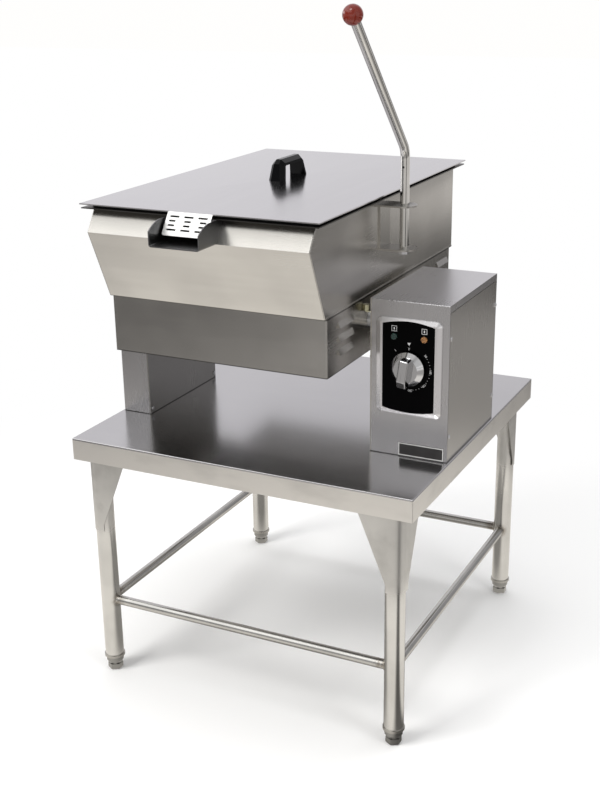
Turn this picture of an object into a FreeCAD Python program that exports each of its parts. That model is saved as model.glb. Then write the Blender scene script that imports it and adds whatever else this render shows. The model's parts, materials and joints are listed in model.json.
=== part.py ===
import FreeCAD, Part
import math
import os

# Electric tilting skillet on an open stand.
# Millimetres. X runs to the right, Y to the back and Z up; the floor is Z = 0.
# The dimensions are given from the centre of the table; the finished pieces are moved in Y
# so that the origin lies under the middle of the whole machine.

V = FreeCAD.Vector
AXIS_X = V(1, 0, 0)
AXIS_Y = V(0, 1, 0)
AXIS_Z = V(0, 0, 1)

# Small distances shared by many joints
RUN_GAP = 0.05          # radial play of a turning or sliding fit
MOVE_GAP = 0.3          # free space between two bodies that pass or rest by each other
SEAT = 0.3              # depth by which a round piece beds into what carries it
HALF = 0.5
STRAIGHT = 0.999        # cosine above which a direction counts as along an axis
HEX_SIDES = 6
FULL_TURN = 360.0
HALF_TURN = 180.0

# Stand table
TABLE_W = 714.0
TABLE_D = 714.0
TABLE_TOP = 519.0       # over the floor
TABLE_LIP = 44.0
TABLE_SHEET = 1.5
TABLE_EDGE_R = 2.2      # bend radius seen along the top edge
TABLE_RETURN = 8.0      # inward fold under the lip
HAT_HALF_W = 40.0       # stiffener under the top, a hat channel from side to side
HAT_H = 25.0
HAT_FOOT = 14.0
HAT_END_GAP = 30.0

# Legs, rails and gussets
LEG_D = 38.1
LEG_WALL = 1.5
LEG_INSET_X = 43.0
LEG_INSET_Y = 31.0
LEG_BOTTOM = 36.0
RAIL_D = 19.05
RAIL_WALL = 1.5
RAIL_Z = 163.0          # over the floor
GUSSET_T = 1.5
GUSSET_REACH = 67.0     # from the leg axis, at the top
GUSSET_TIP = 11.0       # from the leg axis, at the bottom
GUSSET_DROP = 152.0     # below the lip of the table
GUSSET_TAPER = 138.0    # height of the sloping edge below the lip

# Adjustable feet
SOCKET_COLLAR_D = 42.0
SOCKET_COLLAR_H = 5.0
SOCKET_PLUG_H = 26.0
FOOT_STEM_D = 12.0
FOOT_STEM_L = 46.0
FOOT_TOP_D = 35.0
FOOT_HEX_AF = 27.0
FOOT_PAD_D = 26.0
FOOT_SHOULDER_Z = 21.0
FOOT_HEX_Z = 13.0
FOOT_PAD_Z = 2.0

# Side housings: pedestal on the left, control box on the right
SIDE_FRONT = -178.0
SIDE_DEPTH = 265.0
SIDE_OVER_AXIS = 44.5   # top of the housings over the tilting axis
SIDE_EDGE_GAP = 4.5     # set in from the side of the table
PEDESTAL_W = 64.0
BOX_W = 153.0
SIDE_SHEET = 1.5
BEARING_PANEL_T = 3.0
SIDE_FLANGE = 15.0      # folds that take the panel screws
TOP_BAND = 13.0         # fold of the top over the right side
COVER_GAP = 1.0         # seam round the right cover
FOOT_FLANGE = 26.0      # folds on the table that take the hold-down bolts

# Small panel screws
SCREW_D = 4.0
SCREW_HEAD_D = 8.0
SCREW_HEAD_H = 2.4
SCREW_IN = 7.0          # from the front or back edge of the housing
SCREW_LOW = 50.0        # height over the table
SCREW_DROP = 61.5       # below the top of the cover side
PANEL_SCREW_LOW = 11.0  # height over the table on the thick panels
PANEL_SCREW_DROP = 68.0 # below the tilting axis
SCREW_TIP = 3.0         # beyond the fold

# Pan tilting axis
PIVOT_Y = -160.0
PIVOT_UP = 253.0        # over the table
SHAFT_D = 22.0
SHAFT_BORE_D = 12.0
SHAFT_HEAD_D = 30.0
SHAFT_HEAD_T = 4.0
SHAFT_END = 3.0         # shaft beyond the bearing
BOSS_D = 34.0           # welded boss of the pan and boss of the bearing
BOSS_GAP = 0.6          # between the two bosses
BOSS_INSIDE = 14.0      # welded boss inside the heater housing
DOUBLER_GAP = 1.5       # round doubler to the fold above it
DOUBLER_T = 3.0
BEARING_BOSS_OUT = 7.2  # boss seen outside the side housing
BEARING_W = 32.0
BEARING_FLANGE_T = 6.0
BEARING_HUB_L = 18.0
BUSH_D = 27.0
BEARING_BOLT_Z = 31.0   # bolts above and below the axis
NOTCH_GAP = 2.0         # housing folds stop this far from the bearing

# Hexagon bolts that hold bearings and housings
BOLT_D = 8.0
BOLT_AF = 13.0
BOLT_HEAD_H = 5.3
NUT_H = 6.5
WASHER_D = 16.0
WASHER_T = 1.6
BOLT_TIP = 4.0
FLAT_HEAD_D = 14.0      # countersunk head, flush with the panel
FLAT_HEAD_H = 2.6
LOCK_NUT_H = 6.0
LOCK_FACE = 1.5         # spot face below the top of the boss

# Rest bar and buffers behind the axis
REST_Y = 60.0
REST_BAR = 30.0
REST_BAR_WALL = 2.0
BUFFER_D = 24.0
BUFFER_H = 10.0
BUFFER_SPREAD = 150.0

# Pan, all on the tilting body
PAN_CLEAR = 21.5        # casing to the side housings
CASE_OVER_AXIS = 37.0   # lower edge of the casing over the axis
CASE_H = 171.0
RIM_SIDE = 13.5         # rim flange beyond the casing, at the sides
RIM_T = 2.0
RIM_FRONT = -375.0
RIM_BACK = 342.0
CASE_T = 1.2
CASE_FRONT_TOP = -356.0
CASE_BREAK_Y = -382.0
CASE_BREAK_DROP = 40.7  # below the rim flange
CASE_FRONT_BOTTOM = -325.0
CASE_BACK = 315.0
CASE_EDGE_R = 3.5
CASE_FLANGE = 20.0
HEM_H = 3.0
HEM_OUT = 1.0
WALL_GAP = 20.0         # insulated space between casing and liner
LINER_T = 2.0
LINER_CORNER_R = 18.0
LINER_UP = 3.0          # lower edge of the well over that of the casing
PLATE_T = 10.0
PLATE_UP = 2.0          # underside of the plate over the edge of the well

# Pouring spout
SPOUT_W = 100.0
SPOUT_LEFT = 4.0        # spout and lid handle, left of the middle of the pan
SPOUT_T = 2.0
SPOUT_TIP = -440.0
SPOUT_DEPTH = 42.0      # below the rim flange
SPOUT_TIP_H = 27.0      # cheek height at the tip
SPOUT_MID_Y = -424.0    # a point on the curved top of the cheek
SPOUT_MID_DROP = 5.5    # below the rim flange
SPOUT_CURVE_Y = -386.0
SPOUT_BEND_R = 5.0

# Heater housing under the pan
BASE_SIDE_IN = 1.0      # set in from the casing
BASE_FRONT = -316.0
BASE_BACK = 303.0
BASE_H = 109.0
BASE_T = 1.5
BASE_FLANGE = 14.0
BASE_EDGE_R = 2.5
LOUVRE_COUNT = 3
LOUVRE_DROP = 17.0      # first louvre below the casing
LOUVRE_PITCH = 25.0
LOUVRE_H = 11.0
LOUVRE_OUT = 5.0
LOUVRE_LENGTH = 62.0
LOUVRE_FROM_FRONT = 46.0
LOUVRE_FROM_BACK = 16.0
PAD_H = 26.0

# Heating element under the cooking plate
ELEMENT_D = 8.5
ELEMENT_RUNS = 6
ELEMENT_PITCH = 62.0
ELEMENT_FRONT = -235.0
ELEMENT_BACK = 225.0
ELEMENT_TAIL = 42.0

# Lid
LID_SIDE = 2.0          # lid beyond the rim flange
LID_T = 2.0
LID_OVER_RIM = 7.4      # upper edge of the lid over the rim
LID_CROWN = 5.0         # the four facets rise to the middle
SKIRT_T = 1.5
SKIRT_GAP = 5.0
SKIRT_DROP = 24.0
SKIRT_CORNER_R = 14.0
SEAL_IN = 14.0
SEAL_W = 10.0
SEAL_CORNER_R = 12.0

# Strainer tongue at the front of the lid
TONGUE_W = 88.0
TONGUE_LEAD = 4.0       # level part before the bend
TONGUE_FORWARD = 27.0
TONGUE_DOWN = 36.0
TONGUE_CORNER_R = 4.0
SLOT_H = 3.4
SLOT_LONG = 18.0
SLOT_SHORT = 12.5
SLOT_OUTER_PITCH = 28.0
SLOT_INNER_PITCH = 30.5
SLOT_ROW_FIRST = 8.5
SLOT_ROW_PITCH = 8.4
SLOT_ROWS = 4
SLOT_CUT = 3            # cutting depth in sheet thicknesses

# Lid handle
HANDLE_BACK = 6.0       # behind the middle of the lid
HANDLE_L = 112.0
HANDLE_TOP_L = 92.0
HANDLE_H = 39.0
HANDLE_FOOT_W = 35.0
HANDLE_TOP_W = 23.0
HANDLE_LEG_T = 12.0
HANDLE_BAR_T = 12.0
HANDLE_EDGE_R = 3.0     # inner corners of the bridge
HANDLE_FACET = 7.0      # bevel of the outer edges
HANDLE_SCREW_D = 5.0
HANDLE_SCREW_L = 16.0
HANDLE_SCREW_HEAD_D = 11.0
HANDLE_SCREW_HEAD_H = 3.2
HANDLE_SHOULDER = 8.0   # bevel between leg and bar

# Tilting lever on the right of the pan
LEVER_Y = -66.0
LEVER_OUT = 41.0        # tube axis from the casing
LEVER_D = 17.2
LEVER_WALL = 2.3
LEVER_BEND_UP = 183.0   # above the lower flange of the bracket
LEVER_BEND_R = 38.0
LEVER_FORWARD = 234.0   # ball centre in front of the bend
LEVER_UP = 244.0        # ball centre above the bend
BRACKET_W = 48.0
BRACKET_T = 3.0
BRACKET_DROP = 12.0     # top of the bracket below the rim flange
BRACKET_H = 84.0
BALL_D = 34.0
BALL_SEAT = 9.0         # tube end inside the ball
LEVER_BOLT_D = 10.0
LEVER_BOLT_AF = 17.0
LEVER_BOLT_HEAD_H = 6.4
LEVER_BOLT_IN = 26.0
LEVER_WASHER_D = 21.0
LEVER_HOLE_D = 4.0
LEVER_HOLE_DROP = 30.0  # below the bend

# Front of the control box
FASCIA_W = 101.0
FASCIA_H = 160.0
FASCIA_ARCH = 7.0
FASCIA_T = 1.2
FASCIA_UP = 175.0       # middle over the table
BEZEL_W = 128.0
BEZEL_H = 184.0
BEZEL_OUT = 4.5
BEZEL_R = 12.0
BEZEL_SLOPE_W = 9.0     # width of the sloping rim
BEZEL_SLOPE_OUT = 3.5   # rise of the sloping rim
LAMP_UP = 231.0
LAMP_SPREAD = 29.0
LAMP_LENS_D = 12.0
LAMP_LENS_OUT = 3.0
LAMP_BODY_D = 9.0
LAMP_BODY_L = 26.0
LAMP_NUT_AF = 14.0
LAMP_NUT_H = 4.0
BADGE_IN = 6.5          # from the right edge of the box
BADGE_UP = 2.5
BADGE_W = 88.0
BADGE_H = 24.0
BADGE_T = 1.0

# Thermostat and its knob
SPINDLE_D = 6.0
SPINDLE_FLAT = 4.6      # across the flat
SPINDLE_OUT = 23.0      # beyond the front of the box
SPINDLE_IN = 16.0
SPINDLE_UP = 173.5      # over the table
NECK_D = 11.0
NECK_OUT = 3.0
THERMO_W = 46.0
THERMO_H = 40.0
THERMO_L = 34.0
KNOB_D = 64.0
KNOB_SKIRT_H = 3.0
KNOB_DOME_D = 52.0
KNOB_DOME_H = 13.0
KNOB_H = 31.0
KNOB_GRIP_W = 18.0
KNOB_GRIP_DOWN = 31.0
KNOB_GRIP_UP = 24.0
KNOB_EDGE_R = 3.0
KNOB_SLOPE_L = 14.0     # sloping end of the grip
KNOB_SLOPE_DEPTH = 8.0
KNOB_GAP = 3.0
KNOB_MARK_W = 1.6
KNOB_MARK_DEPTH = 0.8
KNOB_TURN = 188.0       # clockwise from the mark at the top

# Supply end
BLOCK_W = 78.0
BLOCK_D = 22.0
BLOCK_H = 32.0
BLOCK_UP = 81.0         # over the table
BLOCK_WAYS = 5
BLOCK_CELL = 10.0
BLOCK_CELL_DEPTH = 12.0
GLAND_UP = 29.0         # over the table
GLAND_BODY_D = 24.0
GLAND_BODY_L = 12.0
GLAND_NUT_AF = 30.0
GLAND_NUT_L = 13.0
GLAND_BORE_D = 13.0
GLAND_LOCK_L = 6.0
GLAND_EDGE_R = 4.0

# Values that follow from the ones above
TABLE_UNDER = TABLE_TOP - TABLE_SHEET
LIP_BOTTOM = TABLE_TOP - TABLE_LIP
LEG_X = HALF * TABLE_W - LEG_INSET_X
LEG_Y = HALF * TABLE_D - LEG_INSET_Y
LEG_R = HALF * LEG_D
SIDE_BACK = SIDE_FRONT + SIDE_DEPTH
PIVOT_Z = TABLE_TOP + PIVOT_UP
SIDE_TOP = PIVOT_Z + SIDE_OVER_AXIS
PED_LEFT = SIDE_EDGE_GAP - HALF * TABLE_W
PED_RIGHT = PED_LEFT + PEDESTAL_W
BOX_RIGHT = HALF * TABLE_W - SIDE_EDGE_GAP
BOX_LEFT = BOX_RIGHT - BOX_W
BOX_MID = HALF * (BOX_LEFT + BOX_RIGHT)
CASE_LEFT = PED_RIGHT + PAN_CLEAR
CASE_RIGHT = BOX_LEFT - PAN_CLEAR
PAN_MID = HALF * (CASE_LEFT + CASE_RIGHT)
CASE_BOTTOM = PIVOT_Z + CASE_OVER_AXIS
RIM_UNDER = CASE_BOTTOM + CASE_H
RIM_TOP = RIM_UNDER + RIM_T
CASE_BREAK_Z = RIM_UNDER - CASE_BREAK_DROP
LINER_BOTTOM = CASE_BOTTOM + LINER_UP
PLATE_BOTTOM = LINER_BOTTOM + PLATE_UP
SPOUT_X = PAN_MID - SPOUT_LEFT
SPOUT_BOTTOM = RIM_UNDER - SPOUT_DEPTH
SPOUT_MID_Z = RIM_UNDER - SPOUT_MID_DROP
BASE_BOTTOM = CASE_BOTTOM - BASE_H
LOUVRE_TOP_Z = CASE_BOTTOM - LOUVRE_DROP
DOUBLER_R = CASE_BOTTOM - BASE_T - DOUBLER_GAP - PIVOT_Z
BASE_LEFT = CASE_LEFT + BASE_SIDE_IN
BASE_RIGHT = CASE_RIGHT - BASE_SIDE_IN
LINER_LEFT = CASE_LEFT + WALL_GAP
LINER_RIGHT = CASE_RIGHT - WALL_GAP
LINER_BACK = CASE_BACK - WALL_GAP
LEVER_X = CASE_RIGHT + LEVER_OUT
LID_LEFT = CASE_LEFT - RIM_SIDE - LID_SIDE
LID_RIGHT = CASE_RIGHT + RIM_SIDE + LID_SIDE
LID_FRONT = RIM_FRONT - LID_SIDE
LID_BACK = RIM_BACK + LID_SIDE
LID_TOP = RIM_TOP + LID_OVER_RIM
LID_UNDER = LID_TOP - LID_T
LID_MID_Y = HALF * (LID_FRONT + LID_BACK)
HANDLE_Y = LID_MID_Y + HANDLE_BACK
BRACKET_LOW = RIM_UNDER - BRACKET_DROP - BRACKET_H
LEVER_BEND_Z = BRACKET_LOW + LEVER_BEND_UP
FASCIA_Z = TABLE_TOP + FASCIA_UP
LAMP_Z = TABLE_TOP + LAMP_UP
SPINDLE_Z = TABLE_TOP + SPINDLE_UP
BADGE_Z = TABLE_TOP + BADGE_UP
BLOCK_Z = TABLE_TOP + BLOCK_UP
GLAND_Z = TABLE_TOP + GLAND_UP
ORIGIN_MOVE = -HALF * (SPOUT_TIP + HALF * TABLE_D)


def block(x0, x1, y0, y1, z0, z1):
    """A box between two corners."""
    return Part.makeBox(x1 - x0, y1 - y0, z1 - z0, V(x0, y0, z0))


def rod(base, axis, radius, length):
    """A round bar."""
    return Part.makeCylinder(radius, length, base, axis)


def tube(base, axis, outer, inner, length):
    """A round tube."""
    return rod(base, axis, outer, length).cut(rod(base, axis, inner, length))


def face_of(points):
    """A flat face from its corners."""
    return Part.Face(Part.makePolygon(points + [points[0]]))


def prism_x(pairs, x0, x1):
    """A (Y, Z) outline drawn out along X."""
    outline = [V(x0, y, z) for y, z in pairs]
    return face_of(outline).extrude(V(x1 - x0, 0, 0))


def prism_y(pairs, y0, y1):
    """An (X, Z) outline drawn out along Y."""
    outline = [V(x, y0, z) for x, z in pairs]
    return face_of(outline).extrude(V(0, y1 - y0, 0))


def hexagon(base, axis, across, height):
    """A hexagonal bar; the axis is X, Y or Z, in either direction."""
    corner = across / math.sqrt(3)
    side_u = AXIS_Z if abs(axis.x) > HALF or abs(axis.y) > HALF else AXIS_X
    side_v = axis.cross(side_u)
    points = []
    for k in range(HEX_SIDES):
        angle = math.radians((k + HALF) * FULL_TURN / HEX_SIDES)
        points.append(base + side_u * (corner * math.cos(angle)) + side_v * (corner * math.sin(angle)))
    return face_of(points).extrude(axis * height)


def turned(pairs, base, axis, side):
    """A (radius, height) outline turned about an axis; side is the starting direction."""
    outline = [base + side * r + axis * h for r, h in pairs]
    return face_of(outline).revolve(base, axis, FULL_TURN)


def joined(shapes):
    """One solid from touching or overlapping shapes."""
    result = shapes[0].fuse(shapes[1:]) if len(shapes) > 1 else shapes[0]
    return result.removeSplitter()


def round_edges(shape, radius, wanted):
    """Rounds the edges that the test picks out."""
    edges = [edge for edge in shape.Edges if wanted(edge)]
    return shape.makeFillet(radius, edges)


def along(edge, axis):
    """True for a straight edge that runs along the axis."""
    if not isinstance(edge.Curve, Part.Line):
        return False
    return abs(edge.Curve.Direction.dot(axis)) > STRAIGHT


def rounded_block(x0, x1, y0, y1, z0, z1, radius, axis):
    """A box with the four edges along one axis rounded."""
    return round_edges(block(x0, x1, y0, y1, z0, z1), radius, lambda edge: along(edge, axis))


def inward(pairs, distance):
    """An outline given anticlockwise, moved inwards by a distance."""
    count = len(pairs)
    moved = []
    for k in range(count):
        before = pairs[k - 1]
        here = pairs[k]
        after = pairs[(k + 1) % count]
        in_len = math.hypot(here[0] - before[0], here[1] - before[1])
        out_len = math.hypot(after[0] - here[0], after[1] - here[1])
        normal_in = ((before[1] - here[1]) / in_len, (here[0] - before[0]) / in_len)
        normal_out = ((here[1] - after[1]) / out_len, (after[0] - here[0]) / out_len)
        sum_y = normal_in[0] + normal_out[0]
        sum_z = normal_in[1] + normal_out[1]
        scale = 2 * distance / (sum_y * sum_y + sum_z * sum_z)
        moved.append((here[0] + sum_y * scale, here[1] + sum_z * scale))
    return moved


def hat_channel():
    """Stiffener under the table top, spot-welded to it."""
    end = HALF * TABLE_W - HAT_END_GAP
    low = TABLE_UNDER - HAT_H
    outer = block(-end, end, -HAT_HALF_W, HAT_HALF_W, low, TABLE_UNDER)
    inside = HAT_HALF_W - TABLE_SHEET
    hollow = block(-end, end, -inside, inside, low + TABLE_SHEET, TABLE_UNDER)
    wide = HAT_HALF_W + HAT_FOOT
    feet = block(-end, end, -wide, wide, TABLE_UNDER - TABLE_SHEET, TABLE_UNDER)
    feet = feet.cut(block(-end, end, -HAT_HALF_W, HAT_HALF_W, TABLE_UNDER - TABLE_SHEET, TABLE_UNDER))
    return outer.cut(hollow).fuse(feet)


def table_top():
    """Folded sheet top with a lip all round and a fold inwards under it."""
    x = HALF * TABLE_W
    y = HALF * TABLE_D
    body = block(-x, x, -y, y, LIP_BOTTOM, TABLE_TOP)
    body = round_edges(body, TABLE_EDGE_R, lambda e: along(e, AXIS_Z) or e.CenterOfMass.z > TABLE_UNDER)
    ix = x - TABLE_SHEET
    iy = y - TABLE_SHEET
    body = body.cut(block(-ix, ix, -iy, iy, LIP_BOTTOM + TABLE_SHEET, TABLE_UNDER))
    rx = x - TABLE_RETURN
    ry = y - TABLE_RETURN
    body = body.cut(block(-rx, rx, -ry, ry, LIP_BOTTOM, LIP_BOTTOM + TABLE_SHEET))
    body = joined([body, hat_channel()])
    for place in hold_down_places():
        body = body.cut(rod(V(place.x, place.y, TABLE_UNDER), AXIS_Z, HALF * BOLT_D, TABLE_SHEET))
    return body


def leg(sx, sy):
    """Round leg tube from the foot socket to the underside of the top."""
    base = V(sx * LEG_X, sy * LEG_Y, LEG_BOTTOM)
    return tube(base, AXIS_Z, LEG_R, LEG_R - LEG_WALL, TABLE_UNDER - LEG_BOTTOM)


def gusset_flange(sx, sy, turned_side):
    """One tapered flange of a gusset, touching the leg and reaching inwards along the lip."""
    if turned_side:
        centre, across, face_sign, reach_sign = sy * LEG_Y, sx * LEG_X, sx, -sy
    else:
        centre, across, face_sign, reach_sign = sx * LEG_X, sy * LEG_Y, sy, -sx
    bottom = LIP_BOTTOM - GUSSET_DROP
    knee = LIP_BOTTOM - GUSSET_TAPER
    top_reach = centre + reach_sign * GUSSET_REACH
    tip_reach = centre + reach_sign * GUSSET_TIP
    outline = [(centre, bottom), (tip_reach, bottom), (tip_reach, knee)]
    outline += [(top_reach, LIP_BOTTOM), (top_reach, TABLE_UNDER), (centre, TABLE_UNDER)]
    inner = across + face_sign * LEG_R
    outer = inner + face_sign * GUSSET_T
    if turned_side:
        return prism_x(outline, inner, outer)
    return prism_y(outline, inner, outer)


def gusset(sx, sy):
    """Skirt bent round the outside of the leg, welded to it and to the top."""
    bottom = LIP_BOTTOM - GUSSET_DROP
    axis_base = V(sx * LEG_X, sy * LEG_Y, bottom)
    ring = tube(axis_base, AXIS_Z, LEG_R + GUSSET_T, LEG_R, TABLE_UNDER - bottom)
    far = LEG_R + GUSSET_T
    xs = sorted([sx * LEG_X, sx * (LEG_X + far)])
    ys = sorted([sy * LEG_Y, sy * (LEG_Y + far)])
    bend = ring.common(block(xs[0], xs[1], ys[0], ys[1], bottom, TABLE_UNDER))
    return joined([bend, gusset_flange(sx, sy, False), gusset_flange(sx, sy, True)])


def leg_bars():
    """The four leg outlines as solid bars, used to shape the ends of the rails."""
    bars = []
    for sx in (-1, 1):
        for sy in (-1, 1):
            bars.append(rod(V(sx * LEG_X, sy * LEG_Y, 0), AXIS_Z, LEG_R, TABLE_UNDER))
    return bars


def rail(start, axis, length):
    """Tube between two legs with its ends shaped to them."""
    body = tube(start, axis, HALF * RAIL_D, HALF * RAIL_D - RAIL_WALL, length)
    for bar in leg_bars():
        body = body.cut(bar)
    return body


def cross_rail(sy):
    """Front or back rail."""
    return rail(V(-LEG_X, sy * LEG_Y, RAIL_Z), AXIS_X, 2 * LEG_X)


def side_rail(sx):
    """Left or right rail."""
    return rail(V(sx * LEG_X, -LEG_Y, RAIL_Z), AXIS_Y, 2 * LEG_Y)


def foot_socket(sx, sy):
    """Threaded plug in the end of a leg with a collar under it."""
    inner = HALF * FOOT_STEM_D + RUN_GAP
    plug = LEG_R - LEG_WALL
    low = LEG_BOTTOM - SOCKET_COLLAR_H
    outline = [(inner, 0), (HALF * SOCKET_COLLAR_D, 0), (HALF * SOCKET_COLLAR_D, SOCKET_COLLAR_H)]
    outline += [(plug, SOCKET_COLLAR_H), (plug, SOCKET_COLLAR_H + SOCKET_PLUG_H)]
    outline += [(inner, SOCKET_COLLAR_H + SOCKET_PLUG_H)]
    return turned(outline, V(sx * LEG_X, sy * LEG_Y, low), AXIS_Z, AXIS_X)


def foot(sx, sy):
    """Bullet foot with its stem, a hexagon for the spanner and a floor pad."""
    base = V(sx * LEG_X, sy * LEG_Y, 0)
    top = LEG_BOTTOM - SOCKET_COLLAR_H - MOVE_GAP
    outline = [(0, 0), (HALF * FOOT_PAD_D - FOOT_PAD_Z, 0), (HALF * FOOT_PAD_D, FOOT_PAD_Z)]
    outline += [(HALF * FOOT_PAD_D, FOOT_HEX_Z), (HALF * FOOT_TOP_D, FOOT_SHOULDER_Z)]
    outline += [(HALF * FOOT_TOP_D, top), (HALF * FOOT_STEM_D, top)]
    outline += [(HALF * FOOT_STEM_D, top + FOOT_STEM_L), (0, top + FOOT_STEM_L)]
    body = turned(outline, base, AXIS_Z, AXIS_X)
    spanner = hexagon(base + AXIS_Z * FOOT_PAD_Z, AXIS_Z, FOOT_HEX_AF, FOOT_HEX_Z - FOOT_PAD_Z)
    return joined([body, spanner])


def hold_down_places():
    """Where the housings are bolted to the table, on the folds inside them."""
    inset = HALF * FOOT_FLANGE
    front = SIDE_FRONT + SIDE_SHEET + inset
    back = SIDE_BACK - SIDE_SHEET - inset
    places = []
    for y in (front, back):
        places.append(V(HALF * (PED_LEFT + PED_RIGHT), y, TABLE_TOP))
        places.append(V(BOX_LEFT + FOOT_FLANGE, y, TABLE_TOP))
        places.append(V(BOX_RIGHT - FOOT_FLANGE, y, TABLE_TOP))
    return places


def screw_places(heights):
    """(Y, Z) of the four small screws on a side panel."""
    places = []
    for y in (SIDE_FRONT + SCREW_IN, SIDE_BACK - SCREW_IN):
        for height in heights:
            places.append((y, TABLE_TOP + height))
    return places


def cover_screws():
    """Screws of the thin outer cover."""
    return screw_places((SCREW_LOW, SIDE_TOP - TABLE_TOP - SCREW_DROP))


def bearing_panel_screws():
    """Screws of the thick inner panels."""
    return screw_places((PANEL_SCREW_LOW, PIVOT_UP - PANEL_SCREW_DROP))


def foot_folds(x0, x1):
    """Folds of the front and back of a housing that lie on the table."""
    reach = SIDE_SHEET + FOOT_FLANGE
    high = TABLE_TOP + SIDE_SHEET
    front = block(x0, x1, SIDE_FRONT, SIDE_FRONT + reach, TABLE_TOP, high)
    back = block(x0, x1, SIDE_BACK - reach, SIDE_BACK, TABLE_TOP, high)
    return [front, back]


def edge_folds(x0, x1, top):
    """Folds inside the front and back edges that take the panel screws."""
    reach = SIDE_SHEET + SIDE_FLANGE
    front = block(x0, x1, SIDE_FRONT, SIDE_FRONT + reach, TABLE_TOP, top)
    back = block(x0, x1, SIDE_BACK - reach, SIDE_BACK, TABLE_TOP, top)
    return [front, back]


def drill_hold_downs(body):
    """Bolt holes through the folds on the table."""
    for place in hold_down_places():
        body = body.cut(rod(place, AXIS_Z, HALF * BOLT_D, SIDE_SHEET))
    return body


def drill_screws(body, places, x0, x1):
    """Screw holes through a panel or the folds behind it."""
    for y, z in places:
        body = body.cut(rod(V(x0, y, z), AXIS_X, HALF * SCREW_D, x1 - x0))
    return body


def flat_head(z, face_x, side, grip):
    """Countersunk bolt outline from the outer face of a bearing panel inwards."""
    outline = [(0, 0), (HALF * FLAT_HEAD_D, 0), (HALF * BOLT_D, FLAT_HEAD_H)]
    outline += [(HALF * BOLT_D, grip), (0, grip)]
    return turned(outline, V(face_x, PIVOT_Y, z), AXIS_X * side, AXIS_Z)


def bearing_bolt_heights():
    """Heights of the two bolts of a bearing."""
    return [PIVOT_Z - BEARING_BOLT_Z, PIVOT_Z + BEARING_BOLT_Z]


def bearing_panel(x_out, side):
    """Thick panel with the openings for a bearing; side points into the housing."""
    x_in = x_out + side * BEARING_PANEL_T
    xs = sorted([x_out, x_in])
    body = block(xs[0], xs[1], SIDE_FRONT, SIDE_BACK, TABLE_TOP, SIDE_TOP)
    body = body.cut(rod(V(xs[0], PIVOT_Y, PIVOT_Z), AXIS_X, HALF * BOSS_D, BEARING_PANEL_T))
    for z in bearing_bolt_heights():
        body = body.cut(flat_head(z, x_out, side, BEARING_PANEL_T))
    return drill_screws(body, bearing_panel_screws(), xs[0], xs[1])


def bearing_notch(x0, x1):
    """Space that the front fold of a housing leaves for the bearing."""
    reach = HALF * bearing_height() + NOTCH_GAP
    return block(x0, x1, SIDE_FRONT + SIDE_SHEET, SIDE_FRONT + SIDE_SHEET + SIDE_FLANGE,
                 PIVOT_Z - reach, PIVOT_Z + reach)


def bearing_height():
    """Height of the oval bearing flange."""
    return 2 * BEARING_BOLT_Z + WASHER_D


def is_shell_bend(edge):
    """True for the bent edges of the pedestal sheet."""
    centre = edge.CenterOfMass
    return centre.x < PED_RIGHT - BEARING_PANEL_T and centre.z > TABLE_TOP


def pedestal_shell():
    """Left housing: front, outer side, back and top in one folded sheet."""
    right = PED_RIGHT - BEARING_PANEL_T
    body = block(PED_LEFT, right, SIDE_FRONT, SIDE_BACK, TABLE_TOP, SIDE_TOP)
    body = round_edges(body, SIDE_SHEET, is_shell_bend)
    hollow = block(PED_LEFT + SIDE_SHEET, right, SIDE_FRONT + SIDE_SHEET, SIDE_BACK - SIDE_SHEET,
                   TABLE_TOP, SIDE_TOP - SIDE_SHEET)
    body = body.cut(hollow)
    folds = foot_folds(PED_LEFT + SIDE_SHEET, right) + edge_folds(right - SIDE_SHEET, right, SIDE_TOP)
    body = joined([body] + folds)
    body = body.cut(bearing_notch(right - SIDE_SHEET, right))
    body = drill_screws(body, bearing_panel_screws(), right - SIDE_SHEET, right)
    return drill_hold_downs(body)


def pedestal_inner_panel():
    """Thick inner side of the pedestal that carries the left bearing."""
    return bearing_panel(PED_RIGHT, -1)


def front_outline(width, height, arch):
    """Outline on the front of the box, straight at the sides and arched above and below."""
    y = SIDE_FRONT
    half_w = HALF * width
    half_h = HALF * height
    sides = ((-1, -1), (-1, 1), (1, 1), (1, -1))
    corners = [V(BOX_MID + sx * half_w, y, FASCIA_Z + sz * half_h) for sx, sz in sides]
    upper = V(BOX_MID, y, FASCIA_Z + half_h + arch)
    lower = V(BOX_MID, y, FASCIA_Z - half_h - arch)
    left = Part.makeLine(corners[0], corners[1])
    top = Part.Arc(corners[1], upper, corners[2]).toShape()
    right = Part.makeLine(corners[2], corners[3])
    bottom = Part.Arc(corners[3], lower, corners[0]).toShape()
    return Part.Face(Part.Wire([left, top, right, bottom]))


def bezel_block(inset):
    """The raised frame as a solid, or its hollow with an inset of one sheet."""
    half_w = HALF * BEZEL_W - inset
    half_h = HALF * BEZEL_H - inset
    front = SIDE_FRONT - BEZEL_OUT + inset
    frame = rounded_block(BOX_MID - half_w, BOX_MID + half_w, front, SIDE_FRONT + SIDE_SHEET,
                          FASCIA_Z - half_h, FASCIA_Z + half_h, BEZEL_R - inset, AXIS_Y)
    front_edges = [e for e in frame.Edges if e.BoundBox.YMax < front + RUN_GAP]
    frame = frame.makeChamfer(BEZEL_SLOPE_OUT, BEZEL_SLOPE_W, front_edges)
    opening = front_outline(FASCIA_W + inset + inset, FASCIA_H + inset + inset, FASCIA_ARCH)
    opening.translate(V(0, SIDE_SHEET, 0))
    return frame.cut(opening.extrude(V(0, -BEZEL_OUT - SIDE_SHEET, 0)))


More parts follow.
